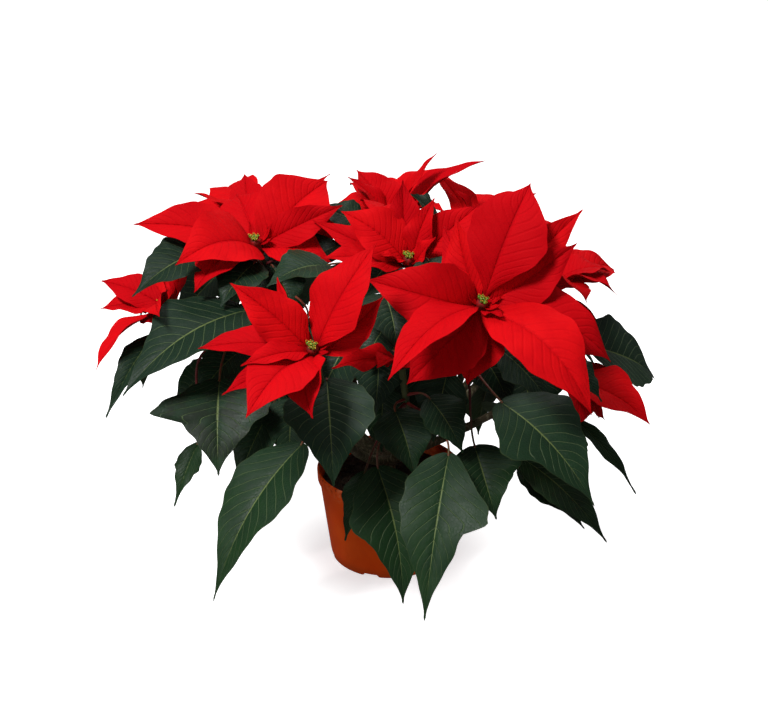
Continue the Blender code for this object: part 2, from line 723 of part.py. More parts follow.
def bract_line(heart, ahead, form, order, move):
    """Root and tip of a bract; its roots stand in four rings under the heart."""
    reach = Vector(form.reach) * MM
    out = (reach - ahead * reach.dot(ahead)).normalized()
    root = heart - ahead * (ROOT_DEPTH + ROOT_STAGGER * (order % 4)) + out * ROOT_SPREAD
    along = reach.normalized()
    side = along.cross((ahead - along * ahead.dot(along)).normalized())
    tip = heart + reach + FRONT_DEPTH * move[0] + side.cross(along) * move[1] + side * move[2]
    return root, tip


def bract_build(heart, ahead, form, order):
    """The builder of one bract: its shapes, and its free part that may touch no other bract."""
    steps = SMALL_BRACT_STEPS if form.width < SMALL_BRACT_WIDTH else BRACT_STEPS
    crown_steps = (CROWN_START,) + tuple(t for t in steps if t > CROWN_START)

    def build(move, extra=0.0):
        root, tip = bract_line(heart, ahead, form, order, move)
        whole = blade(root, tip, ahead, form, steps, extra=extra)
        return [whole], blade(root, tip, ahead, form, crown_steps, extra=extra)

    return build


def leaf_line(foot, top, form, move):
    """Where a leaf's stalk leaves the shoot, and the two ends of its blade."""
    base, tip = Vector(form.base) * MM, Vector(form.tip) * MM
    along = (tip - base).normalized()
    side = along.cross(Vector((0, 0, 1))).normalized()
    shift = FRONT_DEPTH * move[0] + side.cross(along) * move[1] + side * move[2]
    return foot.lerp(top, form.start), base + shift * LEAF_SLIDE_SHARE, tip + shift


def stalk_points(attach, here, there, ahead, bow, steps):
    """The curved way of a leaf stalk, from inside the shoot to a little way into the blade."""
    reach = here - attach
    pull = STALK_PULL * reach.length
    outward = (reach - ahead * reach.dot(ahead)).normalized()
    way = (there - here).normalized()
    end = here + way * STALK_INSET + Vector((0, 0, 4 * bow * STALK_INSET))
    return curve_points(attach + outward * STALK_ROOT, attach + (outward + ahead * 0.5) * pull,
                        here - way * pull, end, steps)


def leaf_build(foot, top, form):
    """The builder of one leaf: its stalk and blade, and the blade alone as its free part."""
    steps = SMALL_LEAF_STEPS if form.width < SMALL_LEAF_WIDTH else LEAF_STEPS
    if any(form.lobes):
        steps = LOBED_STEPS
    ahead = (top - foot).normalized()

    def build(move, extra=0.0):
        attach, here, there = leaf_line(foot, top, form, move)
        points = stalk_points(attach, here, there, ahead, form.bow, STALK_STEPS)
        stalk = tube(points, [STALK_RADIUS + extra] * len(points), STALK_SIDES)
        sheet = blade(here, there, LEAF_FACING, form, steps, form.lobes, extra)
        return [stalk, sheet], sheet

    return build


def back_growth(bloom, rng):
    """Bracts and leaves for a bloom on the far side, set round its stem by the golden turn."""
    foot, top, ahead, heart = shoot_line(bloom)
    right = ahead.cross(Vector((0, 0, 1))).normalized()
    over = right.cross(ahead)
    bloom.bracts, bloom.leaves = [], []
    for k in range(BACK_BRACTS):
        turn = k * GOLDEN_TURN + rng.uniform(-0.15, 0.15)
        share = k / (BACK_BRACTS - 1)
        length = BACK_BRACT_LENGTHS[0] + (BACK_BRACT_LENGTHS[1] - BACK_BRACT_LENGTHS[0]) * share
        spread = math.radians(BACK_BRACT_SPREAD[0] + (BACK_BRACT_SPREAD[1] - BACK_BRACT_SPREAD[0]) * share)
        way = (right * math.cos(turn) + over * math.sin(turn)) * math.sin(spread) + ahead * math.cos(spread)
        reach = way * (length * rng.uniform(0.92, 1.08))
        bloom.bracts.append(bract(*reach, 0.48 * length, bow=0.12, roll=rng.uniform(-12, 12)))
    outward = Vector((heart.x, heart.y, 0)).normalized()
    for k in range(BACK_LEAVES):
        turn = math.radians(-66 + 132 * k / (BACK_LEAVES - 1)) + rng.uniform(-0.1, 0.1)
        way = Vector((outward.x * math.cos(turn) - outward.y * math.sin(turn),
                      outward.x * math.sin(turn) + outward.y * math.cos(turn), 0))
        low_tier = k % 2
        start = 0.06 + 0.04 * k if low_tier else 0.40 + 0.09 * k
        attach = foot.lerp(top, start) / MM
        length = rng.uniform(*BACK_LEAF_LENGTHS)
        if low_tier:
            base = attach + way * (0.4 * BACK_STALK_LENGTH) + Vector((0, 0, -BACK_STALK_LENGTH))
            tip = base + way * (0.45 * length) + Vector((0, 0, -0.85 * length))
        else:
            base = attach + way * BACK_STALK_LENGTH + Vector((0, 0, -8))
            tip = base + way * (0.74 * length) + Vector((0, 0, -0.64 * length))
        bloom.leaves.append(leaf(tuple(base), tuple(tip), 0.60 * length,
                                 lobes=(0.12 * (k % 2), 0.12 * ((k + 1) % 2)), start=start))


def cyathia(heart, ahead, count=3):
    """A low cushion with a ring of round buds and one in the middle."""
    right = ahead.orthogonal().normalized()
    over = ahead.cross(right)
    base = heart + ahead * SEAT
    parts = [tube([base, base + ahead * 2.6 * MM], [0.72 * CLUSTER_RADIUS, 0.6 * CLUSTER_RADIUS], 5)]
    for k in range(count):
        turn = 2 * math.pi * k / count + 0.4
        out = right * math.cos(turn) + over * math.sin(turn)
        foot = base + ahead * 1.2 * MM + out * (0.5 * CLUSTER_RADIUS)
        way = (ahead + out * 0.22).normalized()
        height = (5.4 + 0.9 * (k % 2)) * MM
        points = [foot, foot + way * (0.6 * height), foot + way * height]
        radii = [0.45 * CYATHIUM_RADIUS, 0.85 * CYATHIUM_RADIUS, 0.35 * CYATHIUM_RADIUS]
        parts.append(tube(points, radii, 4))
    return parts


def settle_stems(room):
    """Fills the room with the stems, the buds and the pot, which every blade has to miss."""
    for name, bloom in BLOOMS.items():
        foot, top, ahead, heart = shoot_line(bloom)
        room.add("woody_stem", *limb(bloom))
        room.add("shoot_" + name, *shoot_stem(foot, top))
        room.add("bloom_" + name, *bloom_hub(heart, ahead))
        buds = tube([heart, heart + ahead * CLUSTER_HEIGHT], [CLUSTER_RADIUS] * 2, 8)
        room.add("cyathia_" + name, *buds)
    inside = 0.9 * RIM_RADIUS
    wall = [(BASE_RADIUS, 0), (RIM_RADIUS, POT_HEIGHT), (inside, POT_HEIGHT), (inside, 0)]
    room.add("pot", *turned(wall, 24))


def settle_blooms(room):
    """The bracts of all blooms, bent clear bloom by bloom."""
    tasks = []
    for name, bloom in BLOOMS.items():
        _, _, ahead, heart = shoot_line(bloom)
        for k, form in enumerate(bloom.bracts):
            tasks.append(("bloom_" + name, bract_build(heart, ahead, form, k)))
    return settle(room, tasks)


def settle_leaves(room):
    """The leaves of all shoots, bent clear after the bracts, the first of every shoot first."""
    tasks = []
    for name, bloom in BLOOMS.items():
        foot, top, _, _ = shoot_line(bloom)
        for k, form in enumerate(bloom.leaves):
            tasks.append((k, "shoot_" + name, leaf_build(foot, top, form)))
    tasks.sort(key=lambda task: task[0])
    return settle(room, [task[1:] for task in tasks])


def make_plant():
    rng = random.Random(BACK_SEED)
    for bloom in BLOOMS.values():
        if bloom.bracts is None:
            back_growth(bloom, rng)
    trunk = tube([Vector((0, 0, TRUNK_FOOT)), Vector((0, 0, SOIL_TOP)), Vector((0, 0, FORK_HEIGHT + 4 * MM))],
                 [TRUNK_RADIUS, TRUNK_RADIUS, 0.8 * TRUNK_RADIUS], 10)
    fused("woody_stem", [trunk] + [limb(bloom) for bloom in BLOOMS.values()], "green_wood", WOOD)
    room = Room()
    settle_stems(room)
    bracts, leaves = settle_blooms(room), settle_leaves(room)
    for name, bloom in BLOOMS.items():
        foot, top, ahead, heart = shoot_line(bloom)
        green = [shoot_stem(foot, top)] + leaves["shoot_" + name][0]
        red = [bloom_hub(heart, ahead)] + bracts["bloom_" + name][0]
        soften(fused("shoot_" + name, green, "leaf_green", LEAF))
        soften(fused("bloom_" + name, red, "bract_red", BRACT))
        soften(fused("cyathia_" + name, cyathia(heart, ahead), "bud_yellow", BUD))


def main():
    clear_scene()
    make_pot()
    make_soil()
    make_plant()


main()
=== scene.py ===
import math
import random
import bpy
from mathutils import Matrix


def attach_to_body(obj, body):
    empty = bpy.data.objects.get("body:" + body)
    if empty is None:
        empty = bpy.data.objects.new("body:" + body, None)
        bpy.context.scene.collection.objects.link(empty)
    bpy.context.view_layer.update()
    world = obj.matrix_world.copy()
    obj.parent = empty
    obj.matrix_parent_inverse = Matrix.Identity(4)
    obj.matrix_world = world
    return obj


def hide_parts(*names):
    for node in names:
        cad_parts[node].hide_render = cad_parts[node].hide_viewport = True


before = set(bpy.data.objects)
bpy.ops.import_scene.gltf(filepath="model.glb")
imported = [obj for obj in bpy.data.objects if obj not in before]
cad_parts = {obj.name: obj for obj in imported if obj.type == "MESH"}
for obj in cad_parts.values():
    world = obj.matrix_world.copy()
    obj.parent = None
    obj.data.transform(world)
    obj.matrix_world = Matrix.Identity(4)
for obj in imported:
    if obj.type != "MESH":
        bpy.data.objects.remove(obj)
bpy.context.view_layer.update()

from types import SimpleNamespace

import bpy
import numpy as np
from mathutils import Vector, noise
from mathutils.kdtree import KDTree

# The view and the light. The camera stands where the photograph was taken from, a little above
# the plant; a soft light hangs in front of it on the left, over white paper swept up all round.
EYE_DISTANCE = 1.15
EYE_ELEVATION = math.radians(23)
EYE_TARGET = Vector((-0.0045, 0.0, 0.188))
LENS_MM = 61.7
SKY_STRENGTH = 0.15
FLOOR_SWEEP = [(14.0, 6.0), (14.0, 3.0), (13.4, 1.3), (12.0, 0.25), (10.0, 0.0), (0, 0.0)]
FLOOR_SIDES = 64
# The paper glows: dimmer close under the plant, full white farther out, so cast shadows away from the plant
# are washed out. This glow is painted light.
PAPER_GLOW_UNDER_PLANT = (0.06, (0.66, 0.66, 0.67))
PAPER_GLOW_FAR_OUT = (0.105, (1.0, 1.0, 1.0))


class Value:
    """One number or colour in a material, which takes part in sums and products."""

    def __init__(self, finish, socket):
        self.finish = finish
        self.socket = socket

    def maths(self, operation, *terms):
        return self.finish.add("ShaderNodeMath", {"operation": operation}, dict(enumerate(terms)))[0]

    def __add__(self, other):
        return self.maths("ADD", self, other)

    __radd__ = __add__

    def __sub__(self, other):
        return self.maths("SUBTRACT", self, other)

    def __rsub__(self, other):
        return self.maths("SUBTRACT", other, self)

    def __mul__(self, other):
        return self.maths("MULTIPLY", self, other)

    __rmul__ = __mul__

    def __abs__(self):
        return self.maths("ABSOLUTE", self)

    def fraction(self):
        return self.maths("FRACT", self)

    def largest(self, other):
        return self.maths("MAXIMUM", self, other)

    def stepped(self, low, high):
        """0 below low, 1 above high and a soft change between; high below low turns it round."""
        if low > high:
            return 1 - self.stepped(high, low)
        return self.finish.add("ShaderNodeMapRange", {"interpolation_type": "SMOOTHSTEP"},
                               {"Value": self, "From Min": low, "From Max": high})["Result"]


class Outputs:
    """The outputs of one added node, by name or place."""

    def __init__(self, finish, node):
        self.finish = finish
        self.node = node

    def __getitem__(self, key):
        return Value(self.finish, self.node.outputs[key])


class Finish:
    """One procedural material, whose Principled shader is fed by named sockets."""

    def __init__(self, name, **fixed):
        self.material = bpy.data.materials.new(name)
        self.material.use_nodes = True
        self.tree = self.material.node_tree
        self.shader = self.tree.nodes["Principled BSDF"]
        for key, value in fixed.items():
            self.shader.inputs[key.replace("_", " ")].default_value = value
        self.place = self.add("ShaderNodeTexCoord")["Object"]

    def feed(self, entry, value):
        if isinstance(value, Value):
            self.tree.links.new(value.socket, entry)
        elif isinstance(value, tuple) and entry.type == "RGBA":
            entry.default_value = (*value, 1.0)
        else:
            entry.default_value = value

    def add(self, kind, settings=None, values=None):
        node = self.tree.nodes.new(kind)
        for key, value in (settings or {}).items():
            setattr(node, key, value)
        for key, value in (values or {}).items():
            self.feed(node.inputs[key], value)
        return Outputs(self, node)

    def noise(self, scale, detail, where=None):
        return self.add("ShaderNodeTexNoise", {}, {"Vector": where or self.place, "Scale": scale,
                                                   "Detail": detail, "Roughness": 0.55})["Fac"]

    def streaks(self, scale, detail, stretch):
        """Noise drawn out upwards, as wood grain is."""
        drawn = self.add("ShaderNodeMapping", {}, {"Vector": self.place, "Scale": (1.0, 1.0, stretch)})
        return self.noise(scale, detail, drawn["Vector"])

    def height(self):
        return self.add("ShaderNodeSeparateXYZ", {}, {"Vector": self.place})["Z"]

    def carried(self, name, output):
        """What the mesh carries for each of its points under a name."""
        return self.add("ShaderNodeAttribute", {"attribute_name": name})[output]

    def mix(self, share, first, second):
        return self.add("ShaderNodeMix", {"data_type": "RGBA"}, {0: share, 6: first, 7: second})[2]

    def ramp(self, value, *stops):
        shades = self.add("ShaderNodeValToRGB", {}, {"Fac": value})
        for element, (place, colour) in zip(shades.node.color_ramp.elements, stops):
            element.position = place
            element.color = (*colour, 1.0)
        return shades["Color"]

    def shade(self, **values):
        for key, value in values.items():
            self.feed(self.shader.inputs[key.replace("_", " ")], value)

    def bump(self, height, distance, strength=1.0):
        self.shade(Normal=self.add("ShaderNodeBump", {}, {"Height": height, "Distance": distance,
                                                          "Strength": strength})["Normal"])

    def glow_through(self, colour, share):
        """Lets light pass from the far face, as thin leaf tissue does."""
        through = self.add("ShaderNodeBsdfTranslucent", {}, {"Color": colour})["BSDF"]
        blend = self.add("ShaderNodeMixShader", {}, {0: share, 1: Value(self, self.shader.outputs[0]),
                                                     2: through})["Shader"]
        self.feed(self.tree.nodes["Material Output"].inputs["Surface"], blend)


def link(made):
    bpy.context.scene.collection.objects.link(made)
    return made


def placed(name, vertices, faces, *finishes):
    """A smooth-shaded object from plain vertices and faces."""
    mesh = bpy.data.meshes.new(name)
    mesh.from_pydata([tuple(v) for v in vertices], [], [tuple(f) for f in faces])
    for finish in finishes:
        mesh.materials.append(finish.material)
    mesh.shade_smooth()
    return link(bpy.data.objects.new(name, mesh))


def turned(profile, sides, closed=True):
    """Vertices and faces of a profile of (radius, height) points turned round Z."""
    vertices, rings, faces = [], [], []
    for radius, height in profile:
        if radius == 0:
            rings.append([len(vertices)] * sides)
            vertices.append(Vector((0, 0, height)))
            continue
        rings.append(list(range(len(vertices), len(vertices) + sides)))
        for k in range(sides):
            angle = 2 * math.pi * k / sides
            vertices.append(Vector((radius * math.cos(angle), radius * math.sin(angle), height)))
    for low, high in zip(rings, rings[1:] + rings[:1] if closed else rings[1:]):
        for k in range(sides):
            n = (k + 1) % sides
            unique = list(dict.fromkeys([low[k], low[n], high[n], high[k]]))
            if len(unique) > 2:
                faces.append(unique)
    return vertices, faces


def aimed(name, data, place):
    """A camera or lamp that looks at the plant from a place."""
    made = link(bpy.data.objects.new(name, data))
    made.location = place
    made.rotation_euler = (EYE_TARGET - Vector(place)).to_track_quat("-Z", "Y").to_euler()
    return made


def area_light(name, place, size, power):
    lamp = bpy.data.lights.new(name, "AREA")
    lamp.shape = "DISK"
    lamp.size = size
    lamp.energy = power
    aimed(name, lamp, place)


lens = bpy.data.cameras.new("photo_view")
lens.sensor_width = 36.0
lens.lens = LENS_MM
lens.clip_start = 0.02
lens.clip_end = 60.0
view_line = Vector((0, -math.cos(EYE_ELEVATION), math.sin(EYE_ELEVATION)))
bpy.context.scene.camera = aimed("photo_view", lens, EYE_TARGET + EYE_DISTANCE * view_line)

area_light("key", (-0.80, -1.10, 1.95), 0.5, 46.0)
area_light("fill", (1.5, -1.3, 0.8), 1.0, 1.5)
area_light("top", (0.2, 0.5, 2.1), 0.8, 12.0)
area_light("rear", (0.7, 1.9, 1.3), 1.0, 4.5)
area_light("low", (-1.15, -1.05, 0.25), 0.6, 2.7)

bpy.context.scene.view_settings.view_transform = "Standard"
sky = bpy.data.worlds.new("studio")
sky.use_nodes = True
sky.node_tree.nodes["Background"].inputs["Color"].default_value = (1.0, 1.0, 1.0, 1.0)
sky.node_tree.nodes["Background"].inputs["Strength"].default_value = SKY_STRENGTH
bpy.context.scene.world = sky

# Painted light: the paper's emission rises with distance from the plant and hides its cast shadows there.
paper = Finish("glowing_white_paper", Roughness=1.0, Specular_IOR_Level=0.0, Emission_Strength=1.0)
paper_reach = paper.add("ShaderNodeVectorMath", {"operation": "LENGTH"}, {0: paper.place})["Value"]
paper.shade(Base_Color=(0.80, 0.80, 0.80),
            Emission_Color=paper.ramp(paper_reach, PAPER_GLOW_UNDER_PLANT, PAPER_GLOW_FAR_OUT))
floor = placed("floor", *turned(FLOOR_SWEEP, FLOOR_SIDES, closed=False), paper)
floor.visible_diffuse = False
floor.visible_glossy = False

# The growing pot. The real one is blown from terracotta-coloured plastic: a tapered wall, a
# turned-out collar for stiffness and a foot ring with shallow notches that let water run off.
MM = 0.001
RIM_RADIUS = 65 * MM
BASE_RADIUS = 53 * MM
POT_HEIGHT = 86 * MM
WALL = 1.6 * MM
COLLAR_STEP = 2.2 * MM
COLLAR_BASE = POT_HEIGHT - 10.5 * MM
BELOW_COLLAR = RIM_RADIUS - COLLAR_STEP
WALL_FOOT = 0.8 * MM
WALL_STEPS = 12
FOOT_HEIGHT = 4 * MM
FOOT_WIDTH = 5 * MM
FLOOR_TOP = FOOT_HEIGHT + 2 * MM
INNER_LOW = BASE_RADIUS - WALL - 0.4 * MM
FOOT_NOTCHES = 6
NOTCH_HEIGHT = 2.8 * MM
NOTCH_TURN = math.radians(-108)
NOTCH_HALF_WIDTH = 7.5 * MM
NOTCH_SLOPE = 0.8 * MM
DRAIN_HOLES = 4
DRAIN_RADIUS = 4.5 * MM
DRAIN_REACH = 0.62 * BASE_RADIUS
DRAIN_TURN = math.radians(12)
POT_SIDES = 180


def rounded(profile, radius, steps=3):
    """The profile with each corner off the axis cut by a small arc."""
    result = []
    count = len(profile)
    for k, point in enumerate(profile):
        if point[0] == 0 or k in (0, count - 1):
            result.append(point)
            continue
        here = Vector(point)
        before, after = Vector(profile[k - 1]) - here, Vector(profile[k + 1]) - here
        reach = min(radius, 0.45 * before.length, 0.45 * after.length)
        first, last = here + before.normalized() * reach, here + after.normalized() * reach
        for n in range(steps + 1):
            t = n / steps
            result.append(tuple(first * (1 - t) ** 2 + here * (2 * t * (1 - t)) + last * t ** 2))
    return result


def join(parts):
    """Vertices and faces of several shapes together."""
    vertices, faces = [], []
    for some, some_faces in parts:
        shift = len(vertices)
        vertices.extend(some)
        faces.extend(tuple(i + shift for i in face) for face in some_faces)
    return vertices, faces


def plain_mesh(item):
    """Turns an object's live modifiers into its plain mesh."""
    bpy.context.view_layer.update()
    depsgraph = bpy.context.evaluated_depsgraph_get()
    mesh = bpy.data.meshes.new_from_object(item.evaluated_get(depsgraph), depsgraph=depsgraph)
    item.modifiers.clear()
    item.data = mesh


def hand_over(piece, node):
    """Lets a piece stand for a CAD node on the plant's one body."""
    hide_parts(node)
    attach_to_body(piece, "root")


def pot_finish():
    finish = Finish("pot_plastic", Specular_IOR_Level=0.05)
    height = finish.height()
    broad = finish.noise(22.0, 4.0)
    fine = finish.noise(260.0, 3.0)
    grain = finish.noise(1500.0, 2.0)
    base = finish.mix(broad.stepped(0.3, 0.7), (0.80, 0.070, 0.004), (0.88, 0.100, 0.009))
    # Pale patches on the pot above 35 mm: partly chalky dust, partly a painted sheen of light on the plastic.
    chalk_and_sheen = (broad + 0.35 * fine).stepped(0.66, 0.90) * height.stepped(0.035, 0.083) * 0.45
    dusty_and_sheen = finish.mix(chalk_and_sheen, base, (0.66, 0.30, 0.16))
    grime = (1 - fine).stepped(0.48, 0.70) * height.stepped(0.077, 0.085) * 0.8
    dirty = finish.mix(grime, dusty_and_sheen, (0.045, 0.020, 0.012))
    # Painted shade: the pot is darkened over its bottom 12 mm, by the floor.
    foot_painted_shade = finish.mix(height.stepped(0.012, 0.0) * 0.5, dirty, (0.30, 0.040, 0.010))
    finish.shade(Base_Color=foot_painted_shade, Roughness=0.42 + 0.25 * broad + 0.2 * chalk_and_sheen)
    finish.bump(grain + 2.0 * fine, 0.00012, 0.5)
    return finish


def pot_shape():
    """The turned pot, with the notches pressed up into its foot ring."""
    rise = COLLAR_BASE - WALL_FOOT
    wall = [(BASE_RADIUS + (BELOW_COLLAR - BASE_RADIUS) * k / WALL_STEPS, WALL_FOOT + rise * k / WALL_STEPS)
            for k in range(WALL_STEPS + 1)]
    profile = [
        (0, FOOT_HEIGHT), (0.30 * BASE_RADIUS, FOOT_HEIGHT),
        (0.82 * BASE_RADIUS, FOOT_HEIGHT), (BASE_RADIUS - FOOT_WIDTH - 1 * MM, FOOT_HEIGHT),
        (BASE_RADIUS - FOOT_WIDTH, 0), (BASE_RADIUS - 0.6 * MM, 0), *wall,
        (RIM_RADIUS - 0.4 * MM, COLLAR_BASE + 0.6 * MM), (RIM_RADIUS, POT_HEIGHT - 1.0 * MM),
        (RIM_RADIUS - 0.8 * MM, POT_HEIGHT), (RIM_RADIUS - WALL - 0.4 * MM, POT_HEIGHT),
        (RIM_RADIUS - WALL - 0.8 * MM, COLLAR_BASE + 1.5 * MM), (BELOW_COLLAR - WALL, COLLAR_BASE - 1.5 * MM),
        (INNER_LOW, FLOOR_TOP + 1.5 * MM), (INNER_LOW - 1.5 * MM, FLOOR_TOP), (0, FLOOR_TOP),
    ]
    vertices, faces = turned(rounded(profile, 0.5 * MM), POT_SIDES)
    step = 2 * math.pi / FOOT_NOTCHES
    for vertex in vertices:
        angle = math.atan2(vertex.y, vertex.x) - NOTCH_TURN
        off = abs((angle + step / 2) % step - step / 2) * BASE_RADIUS
        share = max(0.0, min(1.0, (NOTCH_HALF_WIDTH - off) / NOTCH_SLOPE))
        if vertex.z < NOTCH_HEIGHT and vertex.xy.length > BASE_RADIUS - FOOT_WIDTH - 0.5 * MM:
            vertex.z += (NOTCH_HEIGHT - vertex.z) * share
    return vertices, faces


def drain_shapes():
    """The plugs that cut the drain holes through the pot's floor."""
    plug = [(0, -2 * MM), (DRAIN_RADIUS, -2 * MM), (DRAIN_RADIUS, 9 * MM), (0, 9 * MM)]
    for k in range(DRAIN_HOLES):
        angle = DRAIN_TURN + 2 * math.pi * k / DRAIN_HOLES
        shift = Vector((math.cos(angle), math.sin(angle), 0)) * DRAIN_REACH
        vertices, faces = turned(plug, 24)
        yield [v + shift for v in vertices], faces


pot = placed("pot_body", *pot_shape(), pot_finish())
pot.data.set_sharp_from_angle(angle=math.radians(40))
cutter = placed("drain_cutter", *join(drain_shapes()))
cut = pot.modifiers.new("drains", "BOOLEAN")
cut.operation = "DIFFERENCE"
cut.object = cutter
cut.solver = "MANIFOLD"
plain_mesh(pot)
bpy.data.objects.remove(cutter)
hand_over(pot, "pot")

# The potting soil. Dark moist peat with coarse crumbs, filled to a finger below the rim; the
# woody stem stands in a hole in it.
SOIL_TOP = 74 * MM
SOIL_EDGE = SOIL_TOP - 3 * MM
SOIL_STEPS = 40
SOIL_SIDES = 120
SEAT = 0.3 * MM
TRUNK_RADIUS = 7 * MM
TRUNK_FOOT = 32 * MM
TRUNK_HOLE = TRUNK_RADIUS + SEAT + 0.1 * MM
CRUMB_SIDES = 48
CRUMB_SEED = 5


class Tree:
    """A geometry node tree with named inputs that sets grains of random size on points."""

    def __init__(self, name, grain, smallest, largest, seed, **more):
        self.group = bpy.data.node_groups.new(name, "GeometryNodeTree")
        self.inputs = {}
        self.socket("Geometry", "NodeSocketGeometry")
        numbers = {"Smallest": smallest, "Largest": largest, **more}
        for key, value in {"Grain": grain, "Seed": seed, **numbers}.items():
            kind = {"Grain": "NodeSocketObject", "Seed": "NodeSocketInt"}.get(key, "NodeSocketFloat")
            socket = self.socket(key, kind)
            if key != "Grain":
                socket.default_value = value
            self.inputs[socket.identifier] = value
        self.socket("Geometry", "NodeSocketGeometry", "OUTPUT")
        self.source = self.group.nodes.new("NodeGroupInput").outputs
        self.exit = self.group.nodes.new("NodeGroupOutput")

    def socket(self, name, kind, way="INPUT"):
        return self.group.interface.new_socket(name, in_out=way, socket_type=kind)

    def add(self, kind, settings=None, **links):
        """A node; links map its input names, or i0, i1 for places, to values or sockets."""
        node = self.group.nodes.new(kind)
        for key, value in (settings or {}).items():
            setattr(node, key, value)
        for key, value in links.items():
            index = int(key[1:]) if key[0] == "i" and key[1:].isdigit() else key
            if isinstance(value, bpy.types.NodeSocket):
                self.group.links.new(value, node.inputs[index])
            else:
                node.inputs[index].default_value = value
        return node.outputs

    def spread(self):
        """Points strewn over the faces of the mesh that comes in."""
        return self.add("GeometryNodeDistributePointsOnFaces", Mesh=self.source["Geometry"],
                        Density=self.source["Crowding"], Seed=self.source["Seed"])

    def close(self, points, rotation, finish):
        """Sets the grains on the points and dresses them."""
        size = self.add("FunctionNodeRandomValue", {"data_type": "FLOAT"}, i2=self.source["Smallest"],
                        i3=self.source["Largest"], Seed=self.source["Seed"])
        grain = self.add("GeometryNodeObjectInfo", Object=self.source["Grain"])
        strewn = self.add("GeometryNodeInstanceOnPoints", Points=points, Instance=grain["Geometry"],
                          Rotation=rotation, Scale=size[1])
        real = self.add("GeometryNodeRealizeInstances", Geometry=strewn[0])
        dressed = self.add("GeometryNodeSetMaterial", Geometry=real[0], Material=finish.material)
        self.group.links.new(dressed[0], self.exit.inputs[0])

    def grow(self, item):
        """Applies the tree to an object and leaves the result as its plain mesh."""
        modifier = item.modifiers.new(self.group.name, "NODES")
        modifier.node_group = self.group
        for identifier, value in self.inputs.items():
            modifier[identifier] = value
        plain_mesh(item)


def lump_mesh(name, radius, seed, stretch=(1, 1, 1)):
    """A small rough lump with a few dozen faces."""
    vertices, faces = turned([(0, -1), (0.7, -0.7), (1, 0), (0.7, 0.7), (0, 1)], 6)
    bent = []
    for v in vertices:
        push = 1 + 0.5 * noise.noise(v * 1.3 + Vector((seed, 0, 0)))
        bent.append(v * Vector(stretch) * (radius * push))
    return placed(name, bent, [tuple(reversed(f)) for f in faces])


def soil_finish():
    finish = Finish("potting_soil", Specular_IOR_Level=0.25)
    clod = finish.noise(160.0, 5.0)
    fibre = finish.noise(900.0, 3.0)
    pale = (clod + 0.4 * fibre).stepped(0.45, 0.9)
    finish.shade(Base_Color=finish.mix(pale, (0.009, 0.006, 0.004), (0.055, 0.034, 0.020)),
                 Roughness=0.97 - 0.2 * clod)
    finish.bump(clod + 0.5 * fibre, 0.0012)
    return finish


def make_soil():
    floor_top = FLOOR_TOP + SEAT
    low = INNER_LOW - SEAT
    high = BELOW_COLLAR - WALL - 1.2 * SEAT
    lean = (high - low) / (COLLAR_BASE - 1.5 * MM - floor_top - 1.5 * MM)
    top = [(high - (high - TRUNK_HOLE) * k / SOIL_STEPS,
            SOIL_TOP - 1 * MM + 3.2 * MM * math.sin(0.5 * math.pi * k / SOIL_STEPS))
           for k in range(1, SOIL_STEPS + 1)]
    profile = [(0, floor_top), (low - 1.6 * MM, floor_top), (low, floor_top + 1.6 * MM),
               (low + lean * (SOIL_EDGE - floor_top - 1.6 * MM), SOIL_EDGE), *top,
               (TRUNK_HOLE, TRUNK_FOOT - SEAT), (0, TRUNK_FOOT - SEAT)]
    vertices, faces = turned(profile, SOIL_SIDES)
    for v in vertices:
        if v.z > SOIL_EDGE + 0.1 * MM and v.xy.length > TRUNK_HOLE + 0.5 * MM:
            v.z += 1.3 * MM * noise.fractal(v * 90, 1.0, 2.0, 4)
    finish = soil_finish()
    soil = placed("soil_bed", vertices, faces, finish)
    soil.data.set_sharp_from_angle(angle=math.radians(50))
    hand_over(soil, "soil")
    ground = [(TRUNK_HOLE + 1 * MM, SOIL_TOP + 1.6 * MM), (0.5 * high, SOIL_TOP + 1.0 * MM),
              (high - 2.5 * MM, SOIL_TOP - 1.4 * MM)]
    crumbs = placed("soil_crumbs", *turned(ground, CRUMB_SIDES, closed=False))
    lump = lump_mesh("lump", 1.1 * MM, 3)
    tree = Tree("soil_crumbs", lump, 0.35, 1.5, CRUMB_SEED, Crowding=130000.0)
    tumble = tree.add("FunctionNodeRandomValue", {"data_type": "FLOAT_VECTOR"}, i1=(6.28, 6.28, 6.28),
                      Seed=tree.source["Seed"])
    tree.close(tree.spread()["Points"], tumble[0], finish)
    tree.grow(crumbs)
    bpy.data.objects.remove(lump)
    hand_over(crumbs, "soil")


make_soil()

# The woody stem. Green-brown ripened wood: a short trunk out of the soil that forks into the
# branches that carry the shoots, ringed with the scars of old leaves and dotted with lenticels.
FORK_HEIGHT = 92 * MM
TRUNK_STEPS = 10
LIMB_RADII = (4.6 * MM, 3.4 * MM)
LIMB_NECK = 6 * MM
LIMB_KNOTS = 5
HUB_LENGTH = 16 * MM
WOOD_STEPS = 22
WOOD_GRAIN = 1.3 * MM
SCAR_SEED = 8


def bract(right, back, up, width, bow=0.07, roll=0, fold=0.22, wave=1.2, fullness=1.25, widest=0.40):
    """One red bract: its reach from the bloom's heart to its tip, and its form."""
    return SimpleNamespace(reach=(right, back, up), width=width, bow=bow, roll=roll, fold=fold, wave=wave,
                           fullness=fullness, widest=widest, taper=2.0, lobes=(0, 0))


def leaf(base, tip, width, lobes=(0, 0), bow=0.08, roll=0, fold=0.16, start=0.3):
    """One leaf: where its blade begins and ends, its lobes, and where its stalk leaves the shoot."""
    return SimpleNamespace(base=base, tip=tip, width=width, lobes=lobes, bow=bow, roll=roll, fold=fold,
                           wave=1.0, start=start, fullness=0.62, widest=0.35, taper=1.4)


def bloom_at(heart, facing, shoot, bracts=None, leaves=None):
    """A bloom with its shoot, which is given by its length from foot to heart."""
    heart, ahead = Vector(heart) * MM, Vector(facing).normalized()
    return SimpleNamespace(heart=heart, ahead=ahead, top=heart - ahead * (HUB_LENGTH + SEAT),
                           foot=heart - ahead * (shoot * MM), bracts=bracts, leaves=leaves)


